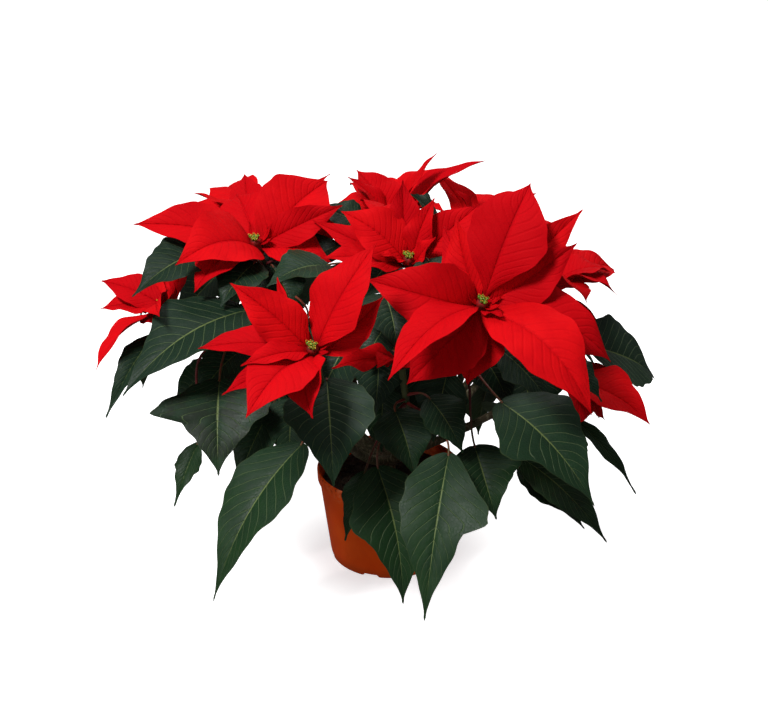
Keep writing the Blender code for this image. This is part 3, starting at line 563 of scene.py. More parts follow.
BLOOMS = {
    "front_right": bloom_at((73, -90, 278), (0.12, -0.50, 0.86), 92, [
        bract(37, 32, 86, 62, bow=0.14, fold=0.10, fullness=1.9, widest=0.56),
        bract(81, 42, 62, 34, roll=20),
        bract(65, 14, 54, 40, roll=35, fold=0.3),
        bract(-92, 2, 17, 56, bow=0.20, roll=-34, fullness=0.9, widest=0.34),
        bract(-79, -62, -40, 42, bow=0.12, roll=24),
        bract(-60, -38, -55, 56, bow=0.04, roll=-10, fullness=0.8),
        bract(81, -60, -71, 60, bow=0.20, fold=0.10, fullness=0.8),
        bract(105, -16, -42, 58, bow=0.22, fold=0.12, fullness=0.9),
        bract(-20, 34, 58, 30, roll=-40),
        bract(-30, 50, 46, 28, roll=-40),
        bract(14, -24, -4, 13, bow=0.04),
        bract(-12, -28, -60, 46, bow=0.06, fullness=0.9),
    ], [
        leaf((89, -95, 193), (161, -150, 128), 80, lobes=(0.0, 0.12), bow=0.12, start=0.15),
        leaf((147, -55, 214), (174, -78, 185), 24, start=0.35),
        leaf((71, -72, 142), (88, -112, 94), 58, lobes=(0.1, 0), start=0.05),
        leaf((92, -50, 220), (133, -72, 181), 50, start=0.4),
        leaf((47, -62, 206), (34, -84, 151), 46, start=0.25),
        leaf((72, -24, 207), (96, -32, 155), 50, start=0.3),
    ]),
    "front_left": bloom_at((-58, -150, 264), (-0.10, -0.52, 0.85), 76, [
        bract(48, 14, 76, 48, bow=0.08, fold=0.12),
        bract(-60, 6, 48, 36, roll=-25, fold=0.3),
        bract(-27, 26, 46, 28, roll=-60),
        bract(50, -4, 44, 28, roll=45, fold=0.3),
        bract(-85, -14, 4, 34, roll=8),
        bract(-44, -58, -31, 50, bow=0.14, fold=0.12),
        bract(2, -48, -37, 36, bow=0.20, roll=25),
        bract(-64, -40, -22, 26, bow=0.10),
        bract(-50, -24, -10, 22, bow=0.10),
    ], [
        leaf((-70, -108, 162), (-138, -184, 62), 62, bow=0.10, roll=10, start=0.15),
        leaf((-49, -122, 225), (-43, -172, 157), 68, bow=0.16, start=0.35),
        leaf((-98, -62, 172), (-128, -92, 110), 40, start=0.1),
        leaf((-85, -60, 180), (-89, -82, 130), 46, start=0.3),
    ]),
    "left": bloom_at((-113, 0, 300), (-0.20, -0.36, 0.91), 80, [
        bract(-103, 8, 10, 42, bow=0.08, roll=-15, fold=0.35),
        bract(-67, 28, -12, 28),
        bract(60, 52, 36, 60, bow=0.12, roll=26, fold=0.3, fullness=0.9, widest=0.48),
        bract(62, 84, 34, 26),
        bract(-60, -56, -4, 62, bow=0.16, roll=-20, fold=0.25, fullness=0.8, widest=0.27),
        bract(74, 12, 25, 30, roll=45, fold=0.3),
        bract(64, -18, -14, 46, bow=0.14),
        bract(-46, -50, -30, 42, bow=0.16, fullness=0.9, widest=0.5),
        bract(-22, 72, 18, 44, bow=0.10),
    ], [
        leaf((-117, -42, 252), (-210, -118, 208), 76, bow=0.10, start=0.7),
        leaf((-151, -10, 294), (-207, -60, 269), 50, bow=0.08, roll=-10, start=0.85),
        leaf((-66, -8, 292), (-92, -34, 286), 26, start=0.8),
        leaf((-140, -66, 200), (-137, -124, 141), 78, lobes=(0.08, 0.2), bow=0.08, start=0.2),
        leaf((-70, -46, 240), (-106, -82, 208), 46, start=0.45),
        leaf((-84, -30, 208), (-92, -72, 148), 60, start=0.1),
        leaf((-112, 44, 268), (-118, 94, 254), 52, start=0.7),
        leaf((-70, 12, 220), (-40, -8, 164), 54, start=0.1),
        leaf((-126, -28, 210), (-161, -62, 178), 46, start=0.25),
        leaf((-136, -10, 194), (-140, -30, 148), 46, start=0.1),
        leaf((-112, -10, 282), (-138, -42, 254), 50, start=0.75),
        leaf((-99, 0, 276), (-79, -22, 242), 46, start=0.6),
        leaf((-110, 34, 288), (-79, 22, 252), 54, start=0.75),
    ]),
    "middle": bloom_at((16, -20, 291), (-0.05, -0.36, 0.93), 84, [
        bract(-56, 10, 36, 44, bow=0.10, roll=-20, fold=0.3),
        bract(-80, 16, 26, 24, roll=-30),
        bract(-72, -34, 10, 34, roll=-10),
        bract(22, -10, 24, 20, roll=30),
        bract(-25, -20, 9, 15, bow=0.04),
        bract(-5, 16, 62, 32, bow=0.02),
        bract(16, 14, 48, 24, roll=20),
        bract(60, 14, 42, 38, roll=30),
        bract(10, 72, 14, 40, bow=0.14),
    ], [
        leaf((-4, -58, 272), (6, -98, 238), 56, bow=0.14, start=0.7),
        leaf((-49, -34, 288), (-98, -70, 282), 48, bow=0.10, start=0.75),
        leaf((48, -42, 250), (70, -64, 214), 46, start=0.4),
        leaf((-30, -30, 226), (-62, -62, 164), 56, start=0.3),
        leaf((30, -10, 202), (44, -40, 138), 56, start=0.1),
        leaf((-8, -46, 220), (-12, -74, 170), 44, start=0.2),
        leaf((2, -44, 184), (6, -64, 132), 42, start=0.05),
        leaf((2, -24, 287), (-18, -44, 259), 44, start=0.75),
        leaf((-4, -58, 243), (-20, -80, 219), 44, start=0.45),
        leaf((30, -22, 287), (44, -42, 260), 44, start=0.75),
    ]),
    "rear_middle": bloom_at((5, 100, 294), (0.0, 0.05, 1.0), 78, [
        bract(-24, 24, 40, 44, roll=-20),
        bract(-38, -4, 38, 22, roll=-30),
        bract(32, 6, 56, 24, roll=20),
        bract(82, -2, 48, 40, bow=0.10, roll=10, fold=0.3),
        bract(-58, -22, 22, 42, bow=0.12, roll=-10),
        bract(-20, -56, 12, 46, bow=0.20),
        bract(44, -40, 12, 36, bow=0.14),
        bract(48, 62, 24, 44, bow=0.14),
        bract(-42, 66, 14, 46, bow=0.14),
    ], [
        leaf((-24, 56, 294), (-64, 62, 310), 40, roll=-10, start=0.75),
        leaf((-20, 134, 246), (-66, 196, 194), 66, lobes=(0.15, 0), start=0.4),
        leaf((30, 60, 218), (52, 28, 158), 60, start=0.1),
        leaf((-34, 62, 214), (-70, 30, 156), 60, start=0.15),
        leaf((-44, 84, 268), (-84, 54, 250), 50, start=0.6),
        leaf((46, 66, 268), (62, 26, 250), 50, start=0.6),
    ]),
    "rear_right": bloom_at((88, 96, 274), (0.20, 0.05, 0.98), 74, [
        bract(-42, 22, 60, 32, roll=-20),
        bract(-32, -12, 46, 24, roll=-30),
        bract(34, 8, 42, 34, roll=20),
        bract(52, 58, 22, 44, bow=0.14),
        bract(72, 16, 12, 40, bow=0.14),
        bract(-12, 82, 16, 46, bow=0.14),
        bract(34, -52, 8, 36, bow=0.16),
    ], [
        leaf((46, 36, 297), (17, 14, 335), 46, bow=0.05, roll=-10, start=0.85),
        leaf((124, 126, 220), (168, 170, 154), 62, start=0.3),
        leaf((60, 60, 208), (84, 20, 148), 56, start=0.1),
        leaf((100, 48, 234), (112, 2, 202), 54, start=0.5),
    ]),
    "right": bloom_at((146, 32, 256), (0.50, -0.10, 0.86), 74, [
        bract(50, 0, 4, 40, bow=0.18, roll=-10),
        bract(52, -22, -5, 34, bow=0.20),
        bract(62, 38, -2, 42, bow=0.18),
        bract(20, -52, -6, 38, bow=0.18),
        bract(12, 66, 12, 44, bow=0.16),
        bract(-30, 40, 34, 34, roll=10),
    ], [
        leaf((175, 16, 196), (248, 60, 145), 76, bow=0.10, roll=22, start=0.1),
        leaf((164, 66, 194), (222, 104, 138), 64, lobes=(0, 0.15), start=0.15),
        leaf((118, -10, 194), (120, -62, 138), 58, start=0.15),
    ]),
    "far_left": bloom_at((-194, 2, 242), (-0.62, -0.24, 0.75), 64, [
        bract(-57, 22, 12, 30, bow=0.10),
        bract(-57, 0, -6, 30, bow=0.10),
        bract(-46, -72, -32, 38, bow=0.14),
        bract(2, -62, 4, 36, bow=0.12),
        bract(16, -72, 10, 26, bow=0.10),
        bract(-40, 62, -12, 40, bow=0.14),
        bract(12, 70, 26, 42, bow=0.14),
        bract(38, 20, 52, 36, roll=10),
    ], [
        leaf((-200, -18, 220), (-232, -86, 174), 24, fold=0.4, start=0.5),
        leaf((-170, -6, 112), (-189, -42, 67), 22, lobes=(0.15, 0.1), start=0.05),
        leaf((-196, 60, 184), (-238, 104, 116), 64, lobes=(0.15, 0.1), start=0.3),
        leaf((-150, 66, 148), (-164, 112, 72), 66, start=0.1),
        leaf((-160, 24, 170), (-200, 34, 116), 56, start=0.2),
    ]),
    "rear_left": bloom_at((-128, 92, 290), (-0.35, 0.25, 0.90), 78, [
        bract(-28, 14, 36, 28, roll=-10),
        bract(-46, -12, 24, 26),
        bract(-10, 46, 34, 34, roll=10),
        bract(-78, 34, -4, 44, bow=0.16),
        bract(-32, 84, -2, 46, bow=0.16),
        bract(36, 66, 14, 44, bow=0.16),
        bract(46, 4, 26, 30, roll=20),
    ], [
        leaf((-176, 96, 234), (-240, 118, 180), 66, bow=0.12, start=0.5),
        leaf((-130, 150, 220), (-158, 204, 152), 68, lobes=(0.1, 0.2), start=0.3),
        leaf((-96, 60, 214), (-120, 20, 148), 60, start=0.1),
        leaf((-150, 60, 250), (-198, 52, 192), 62, start=0.5),
        leaf((-108, 112, 210), (-112, 162, 136), 66, start=0.15),
        leaf((-92, 84, 160), (-104, 112, 92), 54, start=0.05),
    ]),
    "low_right": bloom_at((155, -8, 178), (0.72, -0.34, 0.60), 56, [
        bract(68, -36, -30, 56, bow=0.14, roll=10),
        bract(0, -62, -20, 38, bow=0.14),
        bract(62, 30, -38, 40, bow=0.14),
        bract(36, 2, -44, 34, bow=0.10),
    ], [
        leaf((112, -14, 90), (163, -42, 40), 44, start=0.05),
        leaf((114, -38, 114), (187, -78, 52), 48, lobes=(0.12, 0), start=0.1),
        leaf((168, 34, 118), (226, 2, 55), 19, start=0.5),
        leaf((152, 50, 112), (190, 84, 44), 54, start=0.25),
        leaf((112, 62, 116), (128, 106, 48), 50, start=0.1),
    ]),
    "low_middle": bloom_at((8, -82, 230), (-0.10, -0.42, 0.90), 66, [
        bract(-54, -22, -4, 26, bow=0.12, wave=3.0),
        bract(20, -42, 2, 24, bow=0.12),
        bract(-18, -44, 6, 26, bow=0.12),
    ], [
        leaf((-10, -102, 138), (11, -150, 37), 64, lobes=(0.06, 0.1), bow=0.10, start=0.1),
        leaf((48, -108, 153), (27, -190, 48), 62, lobes=(0.24, 0.0), bow=0.10, start=0.1),
        leaf((4, -78, 178), (20, -112, 134), 50, start=0.2),
        leaf((32, -76, 188), (60, -98, 148), 44, start=0.3),
        leaf((-20, -84, 124), (-37, -104, 69), 24, start=0.04),
    ]),
    "back_left": bloom_at((-70, 138, 250), (-0.25, 0.60, 0.76), 72),
    "back_middle": bloom_at((30, 128, 246), (0.10, 0.66, 0.75), 72),
    "back_right": bloom_at((128, 96, 214), (0.55, 0.45, 0.70), 64),
}
BACK_SEED = 24
BACK_BRACTS = 7
BACK_BRACT_LENGTHS = (70, 98)
BACK_BRACT_SPREAD = (58, 96)
BACK_LEAVES = 6
BACK_LEAF_FAN = 132
BACK_LEAF_LENGTHS = (74, 98)
BACK_STALK_LENGTH = 43
GOLDEN_TURN = math.radians(137.5)


def back_growth(bloom, rng):
    """Bracts and leaves for a bloom on the far side, set round its stem by the golden turn.

    Every second leaf is of the low tier, which hangs steeply to hide the bare branches.
    """
    right = bloom.ahead.cross(Vector((0, 0, 1))).normalized()
    over = right.cross(bloom.ahead)
    bloom.bracts, bloom.leaves = [], []
    for k in range(BACK_BRACTS):
        turn = k * GOLDEN_TURN + rng.uniform(-0.15, 0.15)
        share = k / (BACK_BRACTS - 1)
        length = BACK_BRACT_LENGTHS[0] + (BACK_BRACT_LENGTHS[1] - BACK_BRACT_LENGTHS[0]) * share
        spread = math.radians(BACK_BRACT_SPREAD[0] + (BACK_BRACT_SPREAD[1] - BACK_BRACT_SPREAD[0]) * share)
        out = right * math.cos(turn) + over * math.sin(turn)
        way = out * math.sin(spread) + bloom.ahead * math.cos(spread)
        reach = way * (length * rng.uniform(0.92, 1.08))
        bloom.bracts.append(bract(*reach, 0.48 * length, bow=0.12, roll=rng.uniform(-12, 12)))
    outward = Vector((bloom.heart.x, bloom.heart.y, 0)).normalized()
    for k in range(BACK_LEAVES):
        turn = math.radians(BACK_LEAF_FAN * (k / (BACK_LEAVES - 1) - 0.5)) + rng.uniform(-0.1, 0.1)
        way = Vector((outward.x * math.cos(turn) - outward.y * math.sin(turn),
                      outward.x * math.sin(turn) + outward.y * math.cos(turn), 0))
        low_tier = k % 2
        start = 0.06 + 0.04 * k if low_tier else 0.40 + 0.09 * k
        attach = bloom.foot.lerp(bloom.top, start) / MM
        length = rng.uniform(*BACK_LEAF_LENGTHS)
        if low_tier:
            base = attach + way * (0.4 * BACK_STALK_LENGTH) + Vector((0, 0, -BACK_STALK_LENGTH))
            tip = base + way * (0.45 * length) + Vector((0, 0, -0.85 * length))
        else:
            base = attach + way * BACK_STALK_LENGTH + Vector((0, 0, -8))
            tip = base + way * (0.74 * length) + Vector((0, 0, -0.64 * length))
        bloom.leaves.append(leaf(tuple(base), tuple(tip), 0.60 * length,
                                 lobes=(0.12 * (k % 2), 0.12 * ((k + 1) % 2)), start=start))


def tube(points, radii, sides):
    """Vertices and faces of a closed tube along points, with flat ends square to its path."""
    vertices, faces = [], []
    ahead = (points[1] - points[0]).normalized()
    across = ahead.orthogonal().normalized()
    for k, (point, radius) in enumerate(zip(points, radii)):
        before, after = points[max(k - 1, 0)], points[min(k + 1, len(points) - 1)]
        ahead = (after - before).normalized()
        across = (across - ahead * across.dot(ahead)).normalized()
        other = ahead.cross(across)
        for n in range(sides):
            angle = 2 * math.pi * n / sides
            vertices.append(point + (across * math.cos(angle) + other * math.sin(angle)) * radius)
    for a in range(0, len(vertices) - sides, sides):
        b = a + sides
        for n in range(sides):
            m = (n + 1) % sides
            faces.append((a + n, a + m, b + m, b + n))
    faces.append(tuple(reversed(range(sides))))
    faces.append(tuple(range(len(vertices) - sides, len(vertices))))
    return vertices, faces


def curve_points(start, start_pull, end_pull, end, steps):
    """Points on the cubic curve between two ends, each with its pull point."""
    points = []
    for k in range(steps + 1):
        t = k / steps
        s = 1 - t
        points.append(start * s ** 3 + start_pull * (3 * s * s * t)
                      + end_pull * (3 * s * t * t) + end * t ** 3)
    return points


def limb(bloom):
    """A woody branch from the fork to just under a shoot's foot, knotted where leaves have been."""
    ahead = bloom.ahead
    end = bloom.foot - ahead * SEAT
    outward = Vector((end.x, end.y, 0))
    span = outward.length
    start = Vector((0, 0, FORK_HEIGHT)) + outward * 0.02
    neck = end - ahead * LIMB_NECK
    points = curve_points(start, start + outward * 0.42 + Vector((0, 0, 0.16 * span)),
                          neck - ahead * (0.4 * span), neck, WOOD_STEPS) + [end]
    first, last = LIMB_RADII
    radii = []
    for k in range(len(points)):
        t = min(k / WOOD_STEPS, 1.0)
        knot = 0.10 * max(0.0, math.cos(2 * math.pi * t * LIMB_KNOTS)) ** 6
        radii.append((first + (last - first) * t) * (0.98 + knot))
    return tube(points, radii, 12)


def trunk():
    """The short trunk, slightly wavy and thinner towards the fork."""
    rise = FORK_HEIGHT + 5 * MM - TRUNK_FOOT
    points = [Vector((0.25 * MM * math.sin(k), 0.25 * MM * math.cos(k), TRUNK_FOOT + rise * k / TRUNK_STEPS))
              for k in range(TRUNK_STEPS + 1)]
    return tube(points, [TRUNK_RADIUS * (1.0 - 0.015 * k) for k in range(TRUNK_STEPS + 1)], 20)


def wood_finish():
    finish = Finish("green_wood", Specular_IOR_Level=0.3)
    grain = finish.streaks(420.0, 4.0, 0.25)
    patch = finish.noise(38.0, 3.0)
    base = finish.mix(patch.stepped(0.35, 0.65), (0.052, 0.048, 0.018), (0.080, 0.060, 0.032))
    finish.shade(Base_Color=finish.mix(grain.stepped(0.45, 0.75), base, (0.22, 0.19, 0.12)),
                 Roughness=0.62 + 0.25 * grain)
    finish.bump(grain + 0.6 * patch, 0.0007)
    return finish


def make_wood():
    finish = wood_finish()
    wood = placed("woody_branches", *join([trunk()] + [limb(bloom) for bloom in BLOOMS.values()]), finish)
    remesh = wood.modifiers.new("grown_together", "REMESH")
    remesh.mode = "VOXEL"
    remesh.voxel_size = WOOD_GRAIN
    smooth = wood.modifiers.new("grown_smooth", "SMOOTH")
    smooth.factor = 0.5
    smooth.iterations = 4
    plain_mesh(wood)
    wood.data.materials.clear()
    wood.data.materials.append(finish.material)
    wood.data.shade_smooth()
    scars = link(bpy.data.objects.new("wood_lenticels", wood.data.copy()))
    scar = lump_mesh("scar", 0.5 * MM, 7, (0.8, 1.5, 0.6))
    tree = Tree("wood_scars", scar, 0.5, 1.3, SCAR_SEED, Crowding=14000.0)
    spots = tree.spread()
    tree.close(spots["Points"], spots["Rotation"], finish)
    tree.grow(scars)
    bpy.data.objects.remove(scar)
    hand_over(wood, "woody_stem")
    hand_over(scars, "woody_stem")


back_rng = random.Random(BACK_SEED)
for bloom in BLOOMS.values():
    if bloom.bracts is None:
        back_growth(bloom, back_rng)
make_wood()

# The blooms. Each is a rosette of red bracts, which are coloured leaves in two or three layers
# round the shoot's end: thin, soft, drawn out to a long tip, with ribs that fan from a midrib.
HUB_RADIUS = 5.2 * MM
HUB_STEPS = 8
CAD_THICKNESS = 0.85 * MM
BLADE_SPREAD = 1.03
BEND_STEP = 6 * MM
BEND_DEPTH = 6
BEND_REACH = 5
DEPTH_COST = 0.45
TIP_TOLERANCE = 0.02 * MM
ROOT_DEPTH = 5.5 * MM
ROOT_STAGGER = 2.3 * MM
ROOT_SPREAD = 3.2 * MM
LOBE_PLACE = 0.42
LOBE_RISE = 0.26
LOBE_FALL = 0.07
FRONT_DEPTH = Vector((0.0, 0.92, -0.39))
LOOKS_SEED = 11
BRACTLETS = 6
BRACT_LOOK = SimpleNamespace(rows=44, columns=16, sway=0.03, twist=10, frill=0.02, ribs=12, cup=0.20,
                             narrowest=0.8 * MM, ruffle=1.5, waves=2.2, rake=0.24, relief=0.42 * MM,
                             groove=0.35 * MM, skin=0.34 * MM, ridge=0.5 * MM)
BRACTLET_LOOK = SimpleNamespace(rows=16, columns=8, sway=0.05, twist=15, frill=0.02, ribs=6, cup=0.1,
                                narrowest=0.3 * MM, ruffle=1.0, waves=1.5, rake=0.24, relief=0.1 * MM,
                                groove=0.2 * MM, skin=0.34 * MM, ridge=0.2 * MM)


def blade_moves():
    """Small moves of a blade's tip in growing order: in depth, up and sideways."""
    moves = []
    steps = range(-BEND_REACH, BEND_REACH + 1)
    for depth in range(-BEND_DEPTH, BEND_DEPTH + 1):
        for lift in steps:
            for slide in steps:
                cost = math.sqrt((DEPTH_COST * depth) ** 2 + lift ** 2 + slide ** 2)
                if cost <= BEND_REACH:
                    moves.append((round(cost, 3), abs(lift), depth, lift, slide))
    moves.sort()
    return [(BEND_STEP * depth, BEND_STEP * lift, BEND_STEP * slide) for _, _, depth, lift, slide in moves]


MOVES = blade_moves()


def moved(along, side, move):
    return FRONT_DEPTH * move[0] + side.cross(along) * move[1] + side * move[2]


def blade_axes(root, tip, facing, form):
    """The way from root to tip, the blade's upward and sideward directions and its arch."""
    chord = tip - root
    along = chord.normalized()
    up = (facing - along * facing.dot(along)).normalized()
    side = along.cross(up)
    turn = math.radians(form.roll)
    return (chord, up * math.cos(turn) + side * math.sin(turn),
            side * math.cos(turn) - up * math.sin(turn), form.bow * chord.length)


def node_corners(node):
    """The corners of a CAD node's mesh, to look up the nearest to a place."""
    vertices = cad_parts[node].data.vertices
    corners = KDTree(len(vertices))
    for vertex in vertices:
        corners.insert(vertex.co, vertex.index)
    corners.balance()
    return corners


def cad_ends(corners, facing, form, line):
    """A blade's ends as the CAD bent it clear of its neighbours, or None if the CAD has left it out.

    Of the small moves, it is the one that puts both corners of the tip where the CAD has them.
    """
    for move in MOVES:
        root, tip = line(move)
        chord, up, _, arch = blade_axes(root, tip, facing, form)
        tangent = (chord - up * (4 * arch)).normalized()
        normal = (up - tangent * up.dot(tangent)).normalized() * (CAD_THICKNESS / 2)
        if max(corners.find(tip + normal)[2], corners.find(tip - normal)[2]) < TIP_TOLERANCE:
            return root, tip
    return None


def bract_line(bloom, form, order, move):
    """Root and tip of a bract; its roots stand in four rings under the heart."""
    ahead = bloom.ahead
    reach = Vector(form.reach) * MM
    out = (reach - ahead * reach.dot(ahead)).normalized()
    root = bloom.heart - ahead * (ROOT_DEPTH + ROOT_STAGGER * (order % 4)) + out * ROOT_SPREAD
    along = reach.normalized()
    side = along.cross((ahead - along * ahead.dot(along)).normalized())
    return root, bloom.heart + reach + moved(along, side, move)


def half_width(t, lobe, form):
    """Share of a blade's half width at t from root to tip: rounded below, drawn out to the tip."""
    if t < form.widest:
        share = math.sin(math.pi / 2 * (0.03 + 0.97 * t / form.widest)) ** form.fullness
    else:
        u = (t - form.widest) / (1 - form.widest)
        share = (1 - u ** form.taper) ** 1.5
    gap = LOBE_PLACE - t
    reach = LOBE_RISE if gap > 0 else LOBE_FALL
    return share * (1 - 0.6 * lobe) + 2.2 * lobe * max(0.0, 1 - abs(gap) / reach)


def unit(rows):
    return rows / np.maximum(np.linalg.norm(rows, axis=-1, keepdims=True), 1e-12)


def fine_edge(t, lobe, form, look, phase):
    """Half widths of one side of a blade, with small teeth and swells along its edge."""
    frill = (np.sin(math.pi * look.ribs * t + phase) + np.sin(15.7 * t + 2.3 * phase)
             + 0.8 * np.sin(8.9 * t + 1.7 * phase))
    half = BLADE_SPREAD * form.width * MM / 2
    edge = np.array([half_width(v, lobe, form) for v in t]) * half * (1 + look.frill * frill)
    return np.maximum(edge, look.narrowest) * np.minimum(1.0, (1 - t) / 0.02 + 0.1)


def fine_blade(root, tip, facing, form, rng, look):
    """A finely divided blade on the midrib and outline of its CAD blade, with ribs and ruffles.

    Gives its vertices, faces and, for each vertex, its place across, along and its own tone.
    """
    chord, up, side, arch = blade_axes(root, tip, facing, form)
    t = np.linspace(0, 1, look.rows)
    u = np.linspace(-1, 1, look.columns + 1)
    s = np.sign(u) * np.abs(u) ** 1.5
    sway = rng.uniform(-look.sway, look.sway) * chord.length
    twist = math.radians(rng.uniform(-look.twist, look.twist))
    phases = [rng.uniform(0, 2 * math.pi) for _ in range(4)]
    tone = rng.random()
    right = fine_edge(t, form.lobes[1], form, look, phases[0])
    left = fine_edge(t, form.lobes[0], form, look, phases[3])

    middle = (np.array(root) + np.outer(t, chord) + np.outer(4 * t * (1 - t) * arch, up)
              + np.outer(np.sin(math.pi * t) * sway, side))
    tangent = unit(np.array(chord) + np.outer(4 * (1 - 2 * t) * arch, up))
    upright = unit(np.array(up) - tangent * (tangent @ np.array(up))[:, None])
    aside = np.cross(tangent, upright)
    angle = (twist * t ** 2)[:, None]
    aside, upright = (aside * np.cos(angle) + upright * np.sin(angle),
                      upright * np.cos(angle) - aside * np.sin(angle))

    is_right = s[None, :] > 0
    width = np.where(is_right, right[:, None], left[:, None])
    across = np.abs(s)[None, :]
    distance = across * width
    half = BLADE_SPREAD * form.width * MM / 2
    fold = form.fold * distance * (0.75 + 0.25 * across)
    cup = look.cup * width * across * (1 - across)
    wave = form.wave * MM * look.ruffle * across ** 2.2 * (np.sin(math.pi * t) ** 0.7)[:, None]
    wave = wave * np.where(is_right, np.sin(2 * math.pi * look.waves * t + phases[1])[:, None],
                           np.sin(2 * math.pi * look.waves * 1.13 * t + phases[2])[:, None])
    bulge = 0.5 - 0.5 * np.cos(2 * math.pi * (t[:, None] - look.rake * across) * look.ribs)
    inner = np.clip(across / 0.12, 0, 1) * (1 - across ** 4) * np.clip(width / (0.4 * half), 0, 1)
    groove = np.exp(-(distance / (1.3 * MM)) ** 2) * np.clip((1 - t) / 0.3, 0, 1)[:, None]
    lift = fold + cup + wave + look.relief * bulge * inner - look.groove * groove
    flat = np.where(is_right, 1, -1) * distance
    points = middle[:, None, :] + aside[:, None, :] * flat[..., None] + upright[:, None, :] * lift[..., None]

    normal = unit(np.cross(np.gradient(points, axis=1), np.gradient(points, axis=0)))
    normal = unit(normal + 0.15 * upright[:, None, :])
    ridge = look.ridge * np.exp(-(distance / (1.0 * MM)) ** 2) * np.clip((1 - t) / 0.6, 0, 1)[:, None]
    top = points + normal * (look.skin / 2)
    under = points - normal * (look.skin / 2 + ridge)[..., None]
    vertices = np.concatenate([top.reshape(-1, 3), under.reshape(-1, 3)])

    index = np.arange(top.size // 3).reshape(len(t), len(s))
    shift = index.size
    upper = np.stack([index[:-1, :-1], index[:-1, 1:], index[1:, 1:], index[1:, :-1]], -1).reshape(-1, 4)
    left, right, foot, head = index[:, 0], index[:, -1], index[0], index[-1]
    rims = [(left[:-1], left[1:], left[1:] + shift, left[:-1] + shift),
            (right[:-1], right[:-1] + shift, right[1:] + shift, right[1:]),
            (foot[1:], foot[:-1], foot[:-1] + shift, foot[1:] + shift),
            (head[:-1], head[1:], head[1:] + shift, head[:-1] + shift)]
    faces = [upper, upper[:, ::-1] + shift] + [np.stack(rim, -1) for rim in rims]
    place = np.stack(np.broadcast_arrays(s[None, :], t[:, None], tone), -1).reshape(-1, 3)
    return vertices, np.concatenate(faces), np.tile(place, (2, 1)), np.repeat([0.0, 1.0], shift)


def fine_tube(points, radii, sides, tone):
    """A round tube with the same facts for each vertex as a blade."""
    vertices, faces = tube(points, radii, sides)
    along = np.repeat(np.linspace(0, 1, len(points)), sides)
    place = np.stack(np.broadcast_arrays(0.0, along, tone), -1)
    return np.array([tuple(v) for v in vertices]), faces, place, np.zeros(len(vertices))


def grown(name, parts, finishes):
    """One object of many shapes; parts are (shape, number of its finish)."""
    faces, slots = [], []
    shift = 0
    for (some, some_faces, _, _), slot in parts:
        faces.extend([tuple(int(i) + shift for i in face) for face in some_faces])
        slots.extend([slot] * len(some_faces))
        shift += len(some)
    vertices, places, unders = (np.concatenate([shape[k] for shape, _ in parts]) for k in (0, 2, 3))
    made = placed(name, vertices, faces, *finishes)
    mesh = made.data
    mesh.polygons.foreach_set("material_index", slots)
    mesh.attributes.new("place", "FLOAT_VECTOR", "POINT").data.foreach_set(
        "vector", places.astype(np.float32).reshape(-1))
    mesh.attributes.new("under", "FLOAT", "POINT").data.foreach_set("value", unders.astype(np.float32))
    mesh.set_sharp_from_angle(angle=math.radians(70))
    return made


def blade_facts(finish):
    """Across, along, tone and underside of a blade, from what its mesh carries."""
    split = finish.add("ShaderNodeSeparateXYZ", {}, {"Vector": finish.carried("place", "Vector")})
    return split["X"], split["Y"], split["Z"], finish.carried("under", "Fac")


def bract_finish():
    finish = Finish("bract_red", Specular_IOR_Level=0.03)
    across, along, tone, under = blade_facts(finish)
    side = abs(across)
    mottle = finish.noise(70.0, 4.0)
    cell = finish.noise(1400.0, 2.0)
    wander = finish.noise(22.0, 2.0)
    phase = (along - BRACT_LOOK.rake * side + 0.10 * wander) * BRACT_LOOK.ribs
    # The rib lines and the midrib are darkened where the bump sinks them into grooves: painted shade in the
    # creases.
    rib = abs(phase.fraction() - 0.5).stepped(0.28, 0.5) * side.stepped(0.97, 0.75)
    midrib = side.stepped(0.05, 0.015)
    lit = finish.mix(tone, (0.52, 0.0018, 0.0057), (0.72, 0.0042, 0.0070))
    mottled = finish.mix(mottle.stepped(0.35, 0.7) * 0.4, lit, (0.54, 0.0016, 0.006))
    ribbed = finish.mix((rib * mottle * 0.08).largest(midrib * 0.16), mottled, (0.36, 0.0010, 0.005))
    # Painted shade: each bract is darkened towards its root, where the bracts crowd round the heart.
    root_painted_shade = finish.mix(along.stepped(0.16, 0.0) * 0.6, ribbed, (0.30, 0.004, 0.006))
    finish.shade(Base_Color=finish.mix(under * 0.6, root_painted_shade, (0.52, 0.006, 0.012)),
                 Roughness=0.55 + 0.2 * mottle)
    finish.bump(cell * 0.25 + 1.6 * mottle - 0.55 * rib - 0.8 * midrib, 0.0005, 0.9)
    finish.glow_through((0.90, 0.004, 0.006), 0.13)
    return finish


def hub_finish():
    finish = Finish("bloom_base", Specular_IOR_Level=0.2)
    spots = finish.noise(300.0, 3.0)
    finish.shade(Base_Color=finish.mix(spots.stepped(0.4, 0.65), (0.12, 0.012, 0.008), (0.30, 0.006, 0.008)),
                 Roughness=0.55 + 0.2 * spots)
    finish.bump(spots, 0.0004)
    return finish


def bractlets(bloom, rng):
    """The smallest bracts, which stand up round the buds."""
    ahead = bloom.ahead
    right = ahead.orthogonal().normalized()
    over = ahead.cross(right)
    for k in range(BRACTLETS):
        turn = k * GOLDEN_TURN + rng.uniform(-0.2, 0.2)
        out = right * math.cos(turn) + over * math.sin(turn)
        way = (ahead + out * rng.uniform(0.7, 1.5)).normalized()
        form = bract(0, 0, 0, rng.uniform(5, 8), bow=-0.12, fold=0.4, wave=0.3)
        root = bloom.heart - ahead * ROOT_DEPTH + out * ROOT_SPREAD
        tip = root + way * (rng.uniform(15, 21) * MM)
        yield fine_blade(root, tip, ahead - out * 0.5, form, rng, BRACTLET_LOOK), 0


